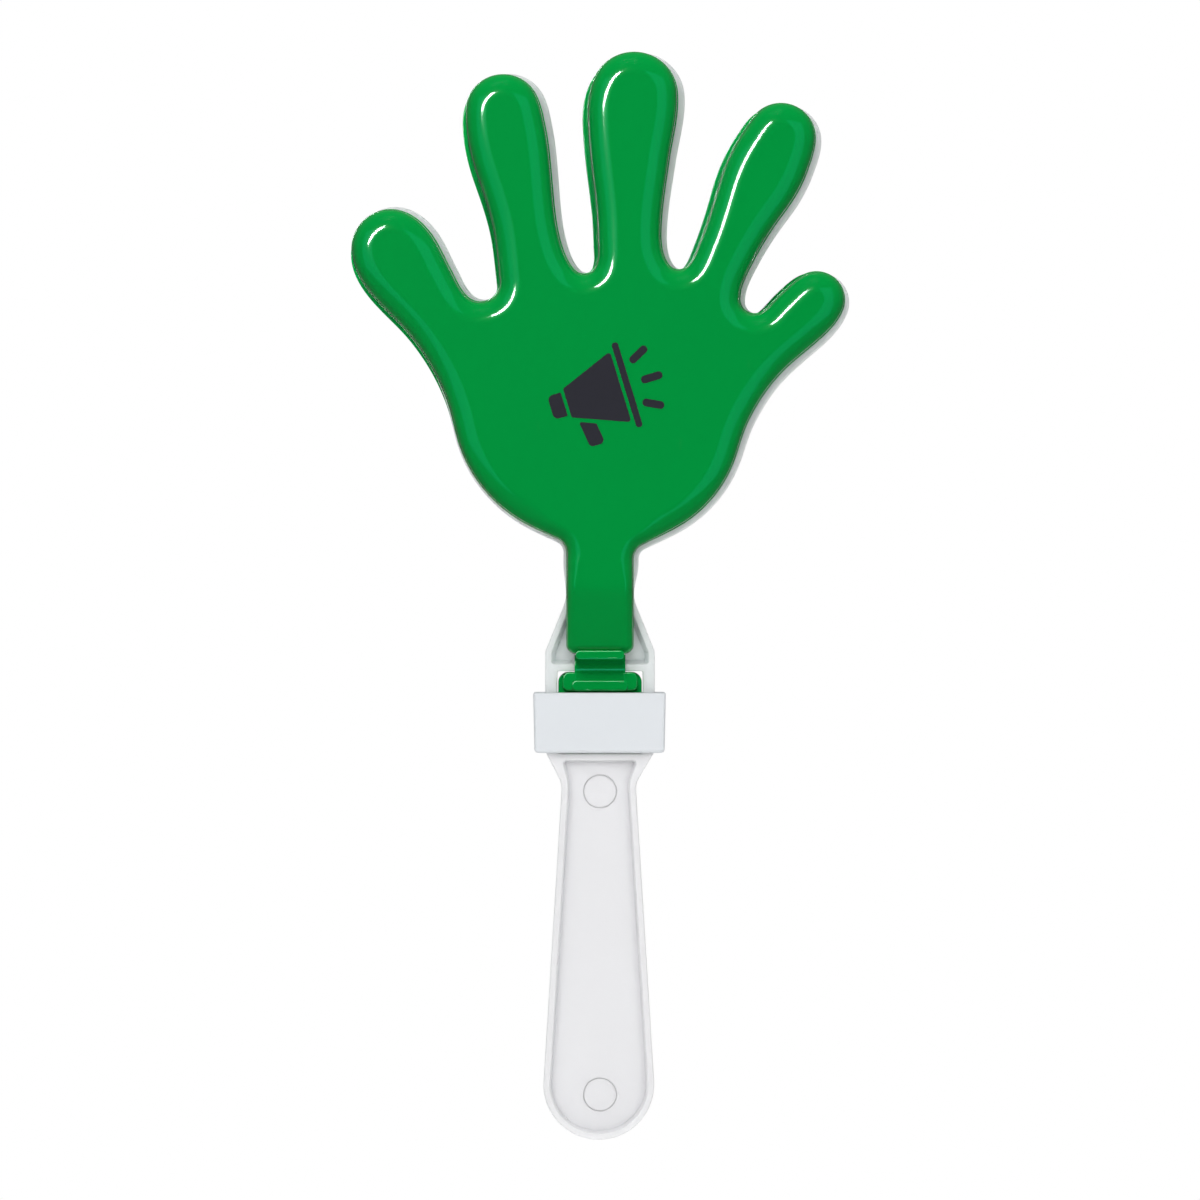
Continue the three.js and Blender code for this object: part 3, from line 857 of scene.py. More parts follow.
def lip_tree():
    """A lip swept along a flat closed path: its section lies inwards of the path, and below it."""
    width, height = "in.Lip width", "in.Lip height"
    return sweep_group("Shell lip", [
        ("Lip width", "Float", 0.0009),
        ("Lip height", "Float", 0.001),
        ("Edge radius", "Float", 0.00018),
    ], {
        "loop": ("GeometryNodeMeshToCurve", (-600, 200)),
        "path": ("GeometryNodeSetCurveNormal", (-400, 200), {"mode": "Z_UP"}),
    }, [(None, None), (width, None), (width, height), (None, height)], """
        in.Geometry > loop.0
        loop.0 > path.Curve
    """)


def strap_tree():
    """A flat strap swept along X between two heights, bowed out in Y between two more."""
    times = {"operation": "MULTIPLY"}
    thin, thick, left, right = "thin.0", "thick.0", "left.0", "right.0"
    return sweep_group("Hinge strap", [
        ("Low", "Float", 0.067),
        ("High", "Float", 0.075),
        ("Bow low", "Float", 0.070),
        ("Bow high", "Float", 0.073),
        ("Bow", "Float", 0.00035),
        ("Steps", "Int", 48),
        ("Width", "Float", 0.013),
        ("Thickness", "Float", 0.0008),
        ("Edge radius", "Float", 0.0002),
    ], {
        "start": ("ShaderNodeCombineXYZ", (-850, 450)),
        "end": ("ShaderNodeCombineXYZ", (-850, 330)),
        "straight": ("GeometryNodeCurvePrimitiveLine", (-650, 400)),
        "stepped": ("GeometryNodeResampleCurve", (-450, 400)),
        "where": ("GeometryNodeInputPosition", (-850, 180)),
        "parts": ("ShaderNodeSeparateXYZ", (-700, 180)),
        "share": ("ShaderNodeMapRange", (-550, 180)),
        "turn": ("ShaderNodeMath", (-400, 180), times, {1: math.pi}),
        "wave": ("ShaderNodeMath", (-250, 180), {"operation": "SINE"}),
        "squared": ("ShaderNodeMath", (-100, 180), times),
        "bow": ("ShaderNodeMath", (50, 180), times),
        "aside": ("ShaderNodeCombineXYZ", (100, 300)),
        "bowed": ("GeometryNodeSetPosition", (200, 400)),
        "path": ("GeometryNodeSetCurveNormal", (350, 400), {"mode": "Z_UP"}),
        "thick": ("ShaderNodeMath", (-850, -100), times, {1: 0.5}),
        "right": ("ShaderNodeMath", (-850, -250), times, {1: 0.5}),
        "thin": ("ShaderNodeMath", (-700, -100), times, {1: -1}),
        "left": ("ShaderNodeMath", (-700, -250), times, {1: -1}),
    }, [(thin, left), (thick, left), (thick, right), (thin, right)], """
        in.Low > start.0
        in.High > end.0
        start.0 > straight.Start
        end.0 > straight.End
        straight.0 > stepped.Curve
        in.Steps > stepped.Count
        where.0 > parts.0
        parts.X > share.Value
        in.Bow low > share.From Min
        in.Bow high > share.From Max
        share.0 > turn.0
        turn.0 > wave.0
        wave.0 > squared.0
        wave.0 > squared.1
        squared.0 > bow.0
        in.Bow > bow.1
        bow.0 > aside.1
        stepped.0 > bowed.Geometry
        aside.0 > bowed.Offset
        bowed.0 > path.Curve
        in.Thickness > thick.0
        in.Width > right.0
        thick.0 > thin.0
        right.0 > left.0
    """, closed=True)


def pin_mark_tree():
    """A round pin mark on each point of a mesh: a fine ring, half sunk in the face it lies on."""
    return geometry_group("Pin marks", [
        ("Radius", "Float", 0.0042),
        ("Line radius", "Float", 0.00014),
        ("Sides", "Int", 96),
        ("Line sides", "Int", 12),
    ], {
        "circle": ("GeometryNodeCurvePrimitiveCircle", (-600, 150)),
        "line": ("GeometryNodeCurvePrimitiveCircle", (-600, -150)),
        "sweep": ("GeometryNodeCurveToMesh", (-350, 0)),
        "turned": ("GeometryNodeTransform", (-150, 0), {}, {"Rotation": (math.pi / 2, 0, 0)}),
        "last": ("GeometryNodeInstanceOnPoints", (200, 0)),
    }, """
        in.Sides > circle.Resolution
        in.Radius > circle.Radius
        in.Line sides > line.Resolution
        in.Line radius > line.Radius
        circle.Curve > sweep.Curve
        line.Curve > sweep.Profile Curve
        sweep.0 > turned.Geometry
        in.Geometry > last.Points
        turned.0 > last.Instance
    """)


def grow(mesh, tree, values, name):
    """Runs a tree on a mesh and returns the result as a plain mesh."""
    seed = bpy.data.objects.new(name + "_seed", mesh)
    bpy.context.scene.collection.objects.link(seed)
    modifier = seed.modifiers.new("Nodes", "NODES")
    modifier.node_group = tree
    known = {s.name: s.identifier for s in tree.interface.items_tree if s.in_out == "INPUT"}
    for label, value in values.items():
        modifier[known[label]] = value
    seed.update_tag()
    graph = bpy.context.evaluated_depsgraph_get()
    made = bpy.data.meshes.new_from_object(seed.evaluated_get(graph), depsgraph=graph)
    made.name = name
    bpy.data.objects.remove(seed)
    if not made.polygons:
        raise RuntimeError(f"the tree {tree.name} made no faces for {name}")
    return made


def loop_mesh(name, flat):
    """A closed loop of edges in the XY plane, in metres."""
    mesh = bpy.data.meshes.new(name)
    count = len(flat)
    edges = [(i, (i + 1) % count) for i in range(count)]
    mesh.from_pydata([(x * MM, y * MM, 0) for x, y in flat], edges, [])
    return mesh


def hinge_place(side):
    """Where a green hand's own frame hangs at rest, in millimetres."""
    return (
        Matrix.Translation((0, side * HINGE_OUT, HINGE_Z))
        @ Matrix.Rotation(-side * math.radians(REST_OPENING), 4, "X")
        @ Matrix.Rotation(math.radians(LEANS[side]), 4, "Y")
    )


# Sizes and colours that a user may change.
class ClapperHandSizes(bpy.types.PropertyGroup):
    lip_height: FloatProperty(
        name="Lip height", description="Height of the lip round the shell's open side",
        default=0.001, min=0.0003, max=0.002, unit="LENGTH", subtype="DISTANCE")
    roll_steps: IntProperty(
        name="Edge steps", description="Rings across the tight part of the shell's rounded edge",
        default=16, min=6, max=32)


class ClapperHandleSizes(bpy.types.PropertyGroup):
    edge_radius: FloatProperty(
        name="Edge radius", description="Radius of the handle's outer edges",
        default=0.00045, min=0.0001, max=0.0008, unit="LENGTH", subtype="DISTANCE")
    pocket_draft: FloatProperty(
        name="Pocket draft", description="How far a pocket's walls lean in on their way to the web",
        default=0.0009, min=0.0001, max=0.0015, unit="LENGTH", subtype="DISTANCE")
    grip_draft: FloatProperty(
        name="Grip draft",
        description="How far the grip's inner walls lean in on their way to the web",
        default=0.0004, min=0.0001, max=0.0015, unit="LENGTH", subtype="DISTANCE")
    pin_radius: FloatProperty(
        name="Pin mark radius", description="Radius of the round pin marks on the grip's web",
        default=0.0042, min=0.001, max=0.006, unit="LENGTH", subtype="DISTANCE")


class ClapperHingeSizes(bpy.types.PropertyGroup):
    strap_width: FloatProperty(
        name="Strap width", description="Width of the living hinge",
        default=0.013, min=0.008, max=0.016, unit="LENGTH", subtype="DISTANCE")
    strap_thickness: FloatProperty(
        name="Strap thickness", description="Thickness of the living hinge",
        default=0.0008, min=0.0004, max=0.0012, unit="LENGTH", subtype="DISTANCE")


class ClapperCollarSizes(bpy.types.PropertyGroup):
    wall: FloatProperty(
        name="Wall", description="Thickness of the collar's wall",
        default=0.0027, min=0.001, max=0.003, unit="LENGTH", subtype="DISTANCE")
    corner: FloatProperty(
        name="Corner", description="Radius of the collar's upright corners",
        default=0.0009, min=0.0002, max=0.0025, unit="LENGTH", subtype="DISTANCE")
    top_edge: FloatProperty(
        name="Top edge", description="Radius of the collar's top edge",
        default=0.00045, min=0.0001, max=0.001, unit="LENGTH", subtype="DISTANCE")
    bottom_edge: FloatProperty(
        name="Bottom edge", description="Radius of the collar's bottom edge",
        default=0.001, min=0.0001, max=0.0015, unit="LENGTH", subtype="DISTANCE")


class ClapperFinish(bpy.types.PropertyGroup):
    green: FloatVectorProperty(
        name="Green", description="Colour of the two outer hands",
        default=(0.0006, 0.275, 0.044), min=0, max=1, size=3, subtype="COLOR")
    white: FloatVectorProperty(
        name="White", description="Colour of the handle",
        default=(0.81, 0.81, 0.825), min=0, max=1, size=3, subtype="COLOR")
    collar: FloatVectorProperty(
        name="Collar white", description="Colour of the locking collar",
        default=(0.74, 0.77, 0.80), min=0, max=1, size=3, subtype="COLOR")
    ink: FloatVectorProperty(
        name="Ink", description="Colour of the palm print",
        default=(0.024, 0.024, 0.033), min=0, max=1, size=3, subtype="COLOR")
    green_roughness: FloatProperty(
        name="Green roughness", description="Roughness of the glossy green plastic",
        default=0.095, min=0, max=1, subtype="FACTOR")
    white_roughness: FloatProperty(
        name="White roughness", description="Roughness of the satin white plastic",
        default=0.42, min=0, max=1, subtype="FACTOR")


class ClapperStage(bpy.types.PropertyGroup):
    camera_distance: FloatProperty(
        name="Camera distance", description="From the camera to the middle of the clapper",
        default=1.2, min=0.3, max=5, unit="LENGTH", subtype="DISTANCE")
    view_width: FloatProperty(
        name="View width", description="Width of the view at the clapper",
        default=0.3078, min=0.05, max=2, unit="LENGTH", subtype="DISTANCE")
    view_height: FloatProperty(
        name="View height", description="Height of the view's middle above the middle of the grip",
        default=0.08865, min=-1, max=1, unit="LENGTH", subtype="DISTANCE")
    floor_height: FloatProperty(
        name="Floor height", description="Height of the floor, below the middle of the grip",
        default=-0.30, min=-2, max=-0.05, unit="LENGTH", subtype="DISTANCE")
    ambient: FloatProperty(
        name="Ambient", description="Strength of the even light from all round",
        default=0.15, min=0, max=2, subtype="FACTOR")


class CLAPPER_OT_hands(bpy.types.Operator):
    """Makes the two green hand shells, each with a lip round its open side"""

    bl_idname = "clapper.hands"
    bl_label = "Hand shells"

    def execute(self, context):
        sizes = context.scene.clapper_hands
        green = green_plastic()
        route = hand_route(STEM_BOTTOM, STEM_CORNER, 4)
        for side in (FRONT, BACK):
            body = SIDE_NAMES[side] + "_hand"
            place = hinge_place(side)
            shell = finish_piece(body + "_shell", self.shell(side, route, sizes, place), green)
            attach(shell, body)
            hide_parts(body)
            lip = finish_piece(body + "_lip", self.lip(side, route, sizes, place, green), green)
            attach(lip, body)
        return {"FINISHED"}

    @staticmethod
    def shell(side, route, sizes, place):
        """One shell: a drafted wall that rolls over into the flat palm, hollow inside."""
        skin = Skin()
        section = shell_section(sizes.roll_steps)

        def ring(roll, wall, depth, floor=0.0):
            flat = outline(route, lambda z: roll * float(roll_share(z)) + wall - SHELL_GROWTH)
            return skin.ring(flat, side * (depth * depth_share(flat[:, 1]) - floor - AXIS_OFF_RIM))

        outer = [ring(roll, 0, depth) for roll, depth in section]
        inner = [ring(0, SHELL_WALL, 0, -INNER_RIM)]
        for a in np.linspace(0, math.pi / 2, 7):
            roll = SHELL_ROLL - (SHELL_ROLL - INNER_START) * math.cos(a)
            depth = SHELL_DEPTH - SHELL_ROLL + SHELL_ROLL * math.sin(a)
            inner.append(ring(roll, SHELL_WALL * math.cos(a), depth, SHELL_WALL * math.sin(a)))
        inner.append(ring(SHELL_ROLL + INNER_CREASE, 0, SHELL_DEPTH, SHELL_WALL))
        skin.tube(outer)
        skin.tube(inner)
        skin.tube([outer[0], inner[0]])
        # The flat face bends down the stem, so it goes through rows of spots there.
        widest = section[-1][0]
        spots = []
        for z in np.arange(STEM_BOTTOM + FIRST_ROW, STEM_TOP + 1, ROW_STEP):
            half = STEM_HALF - widest * float(roll_share(z)) - ROW_MARGIN
            spots += [(x, z) for x in np.linspace(-half, half, 4)]
        for rings, floor in ((outer, 0), (inner, SHELL_WALL)):
            def depth_at(z, floor=floor):
                return side * (SHELL_DEPTH * float(depth_share(z)) - floor - AXIS_OFF_RIM)
            skin.floor(rings[-1], depth_at, spots)
        return skin.mesh(SIDE_NAMES[side] + "_hand_shell", place)

    @staticmethod
    def lip(side, route, sizes, place, material):
        """The lip round a shell's open side, swept along its outline by Geometry Nodes."""
        seed = loop_mesh("lip_path", outline(route, lambda z: -SHELL_GROWTH))
        values = {"Lip height": sizes.lip_height, "Finish": material}
        made = grow(seed, lip_tree(), values, SIDE_NAMES[side] + "_hand_lip")
        # The sweep hangs below its path, so its depth is turned over: the lip stands on the rim.
        rim = -side * AXIS_OFF_RIM * MM
        made.transform(Matrix(((1, 0, 0, 0), (0, 0, -side, rim), (0, 1, 0, 0), (0, 0, 0, 1))))
        made.transform(Matrix.Scale(MM, 4) @ place @ Matrix.Scale(1 / MM, 4))
        keep_flat(made, large=0.4)
        return made


def pad(skin, side, corners, depths, edge):
    """Adds a plate with rounded corners between two depths. Its outer edge is softened."""
    start, end = (side * depth for depth in depths)
    flat = refine(rounded(corners), longest=1.5)
    way = math.copysign(1, end - start)
    rings = [skin.ring(flat, start)]
    for inset, down in reversed(quarter(edge)):
        rings.append(skin.ring(offset(flat, inset), end - way * down))
    skin.tube(rings)
    skin.face([rings[0]])
    skin.face([rings[-1]])


def upright(half, span, radii):
    """The corners of a plate about the middle, with radii below and above."""
    low, high = span
    return mirrored([(half, high, radii[1]), (half, low, radii[0])])


class CLAPPER_OT_hinges(bpy.types.Operator):
    """Makes each green hand's living hinge, its bead, and the foot that locks it in the window"""

    bl_idname = "clapper.hinges"
    bl_label = "Hinges and feet"

    def execute(self, context):
        sizes = context.scene.clapper_hinges
        green = green_plastic()
        for side in (FRONT, BACK):
            label = SIDE_NAMES[side]
            body = label + "_hand"
            bead = finish_piece(label + "_hinge_bead", self.bead(side), green)
            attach(bead, body)
            foot = finish_piece(label + "_foot", self.foot(side, sizes), green)
            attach(foot, "handle")
            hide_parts(label + "_hinge_foot")
            strap = finish_piece(label + "_living_hinge", self.strap(side, sizes, green), green)
            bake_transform(strap)
            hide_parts(label + "_hinge_strap")
        return {"FINISHED"}

    @staticmethod
    def bead(side):
        """The bead where the strap meets the stem, about the hinge line."""
        skin = Skin()
        corners = upright(BEAD_HALF, BEAD_SPAN, (BEAD_RADIUS, BEAD_RADIUS))
        pad(skin, side, corners, BEAD_DEPTHS, BEAD_EDGE)
        return skin.mesh("hinge_bead", hinge_place(side), large=1)

    @staticmethod
    def foot(side, sizes):
        """The stepped foot, the two ears beside the strap, and the bar that stops the collar.

        A plate is its corners, its first and last depth and the radius of its outer edge.
        """
        skin = Skin()
        half = sizes.strap_width / MM / 2
        out = HINGE_OUT + sizes.strap_thickness / MM / 2
        ear = [(half - 0.5, FOOT_TOP, 0.5), (EAR_HALF, FOOT_TOP, 2),
               (EAR_HALF, EAR_LOW, 1.4), (half - 0.5, EAR_LOW, 0.5)]
        plates = {
            "base": (upright(WINDOW_HALF - FOOT_GAP, (FOOT_LOW, FOOT_TOP), (0.6, 2.6)),
                     (0.15, 2.3), 0.3),
            "step": (upright(STEP_HALF, (FOOT_LOW, BAR_LOW), (0.6, 0.3)), (0.6, 3.4), 0.3),
            "strap root": (upright(half - 0.05, (BAR_LOW + 1.3, FOOT_TOP), (0.3, 0.3)),
                           (1.7, out - 0.2), 0.1),
            "stop bar": (upright(BAR_HALF, (BAR_LOW, BAR_HIGH), (1.39, 1.39)), (1.7, 5), 0.45),
            "left ear": ([(-x, z, radius) for x, z, radius in ear], (0.6, out + 0.05), 0.38),
            "right ear": (ear, (0.6, out + 0.05), 0.38),
        }
        for plate in plates.values():
            pad(skin, side, *plate)
        return skin.mesh("foot", large=1)

    @staticmethod
    def strap(side, sizes, material):
        """The thin strap from inside the foot to inside the bead, swept by Geometry Nodes."""
        seed = bpy.data.meshes.new("strap_seed")
        seed.from_pydata([(0, 0, 0)], [], [])
        made = grow(seed, strap_tree(), {
            "Low": STRAP_LOW * MM,
            "High": STRAP_HIGH * MM,
            "Bow low": FOOT_TOP * MM,
            "Bow high": STRAP_BOW_TOP * MM,
            "Width": sizes.strap_width,
            "Thickness": sizes.strap_thickness,
            "Finish": material,
        }, SIDE_NAMES[side] + "_living_hinge")
        out = side * HINGE_OUT * MM
        made.transform(Matrix(((0, 0, 1, 0), (0, side, 0, out), (1, 0, 0, 0), (0, 0, 0, 1))))
        keep_flat(made, large=0.1)
        return made


class CLAPPER_OT_handle(bpy.types.Operator):
    """Makes the white handle: grip, window frame and middle hand, with a web between its rims"""

    bl_idname = "clapper.handle"
    bl_label = "Handle"

    def execute(self, context):
        sizes = context.scene.clapper_handle
        white = white_plastic()
        handle = finish_piece("handle_moulding", self.moulding(sizes), white)
        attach(handle, "handle")
        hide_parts("handle")
        marks = finish_piece("grip_pin_marks", self.pin_marks(sizes, white), white)
        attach(marks, "handle")
        return {"FINISHED"}

    @staticmethod
    def middle_ring(inset, bottom, radius):
        """The outline of the white hand in place. It stands out past the green ones, least so
        at the fingers."""
        low, high = FINGER_ROOTS

        def inset_at(z):
            share = float(ease(np.clip((z - low) / (high - low), 0, 1)))
            return inset - MIDDLE_GROWTH + (MIDDLE_GROWTH - FINGER_GROWTH) * share

        x, z = outline(hand_route(bottom, radius, 1), inset_at).T
        c, s = math.cos(math.radians(MIDDLE_LEAN)), math.sin(math.radians(MIDDLE_LEAN))
        return np.stack((x * c + z * s, HINGE_Z - x * s + z * c), 1)

    @classmethod
    def silhouette(cls):
        """The whole handle's outline: the white hand, the frame and the grip as one ring."""
        hand = cls.middle_ring(0, PALM_POCKET, STEM_CORNER)
        hand = hand[hand[:, 1] > HINGE_Z + STEM_TOP - 0.3]
        first = int(np.argmin(np.where(hand[:, 0] < 0, hand[:, 1], 1e9)))
        hand = np.roll(hand, -first, 0)
        frame_ring = rounded(mirrored([
            (NECK_HALF, NECK_TOP, LEAST_RADIUS),
            *FRAME_CORNERS,
            (FRAME_HALF, FRAME_LOW, FRAME_RADIUS),
            (SHOULDER_HALF, SHOULDER, SHOULDER_RADIUS),
            *GRIP_CORNERS,
        ]))
        frame_ring = frame_ring[frame_ring[:, 1] < NECK + 3]
        t = np.linspace(0, 1, 7)[1:-1]
        joins = []
        for (x, z), (low_x, low_z) in ((hand[-1], frame_ring[0]), (frame_ring[-1], hand[0])):
            joins.append(np.stack((x + (low_x - x) * ease(t), z + (low_z - z) * t), 1))
        return refine(np.concatenate((hand, joins[0], frame_ring, joins[1])), longest=2.5)

    @classmethod
    def moulding(cls, sizes):
        """The handle: a rim all round, two webs in front and behind, and an open window."""
        skin = Skin()
        silhouette = cls.silhouette()
        edge = quarter(sizes.edge_radius / MM)
        front_edge = [(inset, down - HANDLE_FACE) for inset, down in edge]
        back_edge = [(inset, -y) for inset, y in reversed(front_edge)]
        outer = [skin.ring(offset(silhouette, inset), y) for inset, y in front_edge + back_edge]
        skin.tube(outer)
        tie = HINGE_Z + PALM_POCKET + MIDDLE_RIM - MIDDLE_GROWTH - TIE
        panel = mirrored([
            (NECK_HALF, tie + RIM, POCKET_RADIUS + RIM),
            *FRAME_CORNERS,
            (FRAME_HALF, HINGE_Z - RIM, POCKET_RADIUS + RIM),
        ])
        grip = mirrored([
            (GRIP_POCKET_HALF, GRIP_POCKET_TOP + RIM, POCKET_RADIUS + RIM),
            *GRIP_CORNERS,
        ])
        window = mirrored([
            (WINDOW_HALF, WINDOW_TOP, WINDOW_RADIUS),
            (WINDOW_HALF, SHOULDER, WINDOW_RADIUS),
        ])

        def hand_at(more):
            return cls.middle_ring(MIDDLE_RIM + more, PALM_POCKET, POCKET_RADIUS)

        def panel_at(more):
            return rounded(inset_corners(panel, RIM + more))

        def grip_at(more):
            return rounded(inset_corners(grip, RIM + more))

        def window_at(more):
            return rounded(inset_corners(window, more))

        pockets = (
            (hand_at, sizes.pocket_draft / MM),
            (panel_at, sizes.pocket_draft / MM),
            (grip_at, sizes.grip_draft / MM),
        )
        round_off = quarter(POCKET_EDGE)
        brim = [(-inset, HANDLE_FACE - down) for inset, down in round_off]
        window_ends = []
        for side, face in ((FRONT, outer[0]), (BACK, outer[-1])):
            holes = []
            for ring_at, draft in pockets:
                base = [(draft + inset, WEB_FACE + down) for inset, down in reversed(round_off)]
                levels = [skin.ring(ring_at(more), side * y) for more, y in brim + base]
                skin.tube(levels)
                skin.face([levels[-1]])
                holes.append(levels[0])
            levels = [skin.ring(window_at(more), side * y) for more, y in brim]
            skin.tube(levels)
            holes.append(levels[0])
            window_ends.append(levels[-1])
            skin.face([face, *holes])
        skin.tube(window_ends)
        # The grip stands a little to the left of the hands' middle line.
        for i, (x, y, z) in enumerate(skin.points):
            share = float(np.clip((SHOULDER - z) / (SHOULDER - WAIST), 0, 1))
            skin.points[i] = (x + GRIP_SHIFT * share, y, z)
        return skin.mesh("handle_moulding", large=1.2)

    @staticmethod
    def pin_marks(sizes, material):
        """The two round pin marks on each face of the grip's web, placed by Geometry Nodes."""
        seed = bpy.data.meshes.new("pin_places")
        out = WEB_FACE - PIN_SUNK
        places = [(0, y * MM, z * MM) for y in (-out, out) for z in PIN_HEIGHTS]
        seed.from_pydata(places, [], [])
        values = {"Radius": sizes.pin_radius, "Finish": material}
        made = grow(seed, pin_mark_tree(), values, "grip_pin_marks")
        keep_flat(made)
        return made


class CLAPPER_OT_collar(bpy.types.Operator):
    """Makes the white collar that locks both feet in the handle's window"""

    bl_idname = "clapper.collar"
    bl_label = "Collar"

    def execute(self, context):
        low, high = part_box("collar")
        mesh = self.sleeve(context.scene.clapper_collar, low, high)
        mesh.transform(Matrix.Translation(Vector(COLLAR_SHIFT) * MM))
        collar = finish_piece("locking_collar", mesh, collar_plastic())
        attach(collar, "handle")
        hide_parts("collar")
        return {"FINISHED"}

    @staticmethod
    def sleeve(sizes, low, high):
        """A closed section carried round the bore: its outer face leans in towards the bottom."""
        wall, radius = sizes.wall / MM, sizes.corner / MM
        top, bottom = quarter(sizes.top_edge / MM), quarter(sizes.bottom_edge / MM, steps=6)
        half = np.array((high.x, high.y)) / MM
        foot_z, top_z = low.z / MM, high.z / MM
        lead = COLLAR_LEAD
        skin = Skin()

        def ring(inset, z, radius):
            x, y = half - inset
            corners = [(x, y, radius), (x, -y, radius), (-x, -y, radius), (-x, y, radius)]
            flat = rounded(corners, steps_per_turn=8)
            start = len(skin.points)
            skin.points += [(px, py, z) for px, py in flat]
            return list(range(start, start + len(flat)))

        rings = [
            ring(wall, foot_z + lead, 0.6),
            ring(wall, top_z - lead, 0.6),
            ring(wall - lead, top_z, 0.7),
            *[ring(inset, top_z - down, radius) for inset, down in top],
            *[ring(COLLAR_DRAFT + inset, foot_z + down, radius)
              for inset, down in reversed(bottom)],
            ring(wall - lead, foot_z, 0.7),
        ]
        skin.tube(rings + rings[:1])
        return skin.mesh("locking_collar", large=2)


class CLAPPER_OT_print(bpy.types.Operator):
    """Prints a plain megaphone on the front palm"""

    bl_idname = "clapper.print"
    bl_label = "Palm print"

    @staticmethod
    def shapes():
        """The horn, its rim, the mouthpiece, the handle and three strokes of sound."""
        made = [
            [(-7, -3.8, 0.5), (-7, 3.8, 0.5), (7.2, 9.4, 0.7), (7.2, -9.4, 0.7)],
            [(8, -11.2, 0.8), (8, 11.2, 0.8), (9.7, 11.2, 0.8), (9.7, -11.2, 0.8)],
            [(-11.4, -3.1, 1.4), (-11.4, 3.1, 1.4), (-7.8, 3.1, 0.3), (-7.8, -3.1, 0.3)],
            [(-5.6, -5.4, 0.4), (-1.4, -7.1, 0.4), (-0.7, -12.4, 1.2), (-4.7, -12.4, 1.2)],
        ]
        for degrees in (-27, 0, 27):
            a = math.radians(degrees)
            along = np.array((math.cos(a), math.sin(a)))
            across = np.array((-math.sin(a), math.cos(a)))
            base = np.array((1, 0)) + along * 11.6
            tip = base + along * 5.6
            corners = (base + across, tip + across, tip - across, base - across)
            made.append([(*c, 0.95) for c in corners])
        return made

    def execute(self, context):
        skin = Skin()
        c, s = math.cos(math.radians(PRINT_TILT)), math.sin(math.radians(PRINT_TILT))
        turn = np.array(((c, -s), (s, c)))
        level = SHELL_DEPTH - AXIS_OFF_RIM
        for shape in self.shapes():
            flat = rounded(shape, steps_per_turn=10) @ turn.T + PRINT_CENTRE
            rings = [skin.ring(flat, FRONT * (level + out)) for out in (-0.02, 0.03)]
            skin.tube(rings)
            for ring in rings:
                skin.face([ring])
        mark = finish_piece("palm_print", skin.mesh("palm_print", hinge_place(FRONT)), print_ink())
        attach(mark, "front_hand")
        return {"FINISHED"}


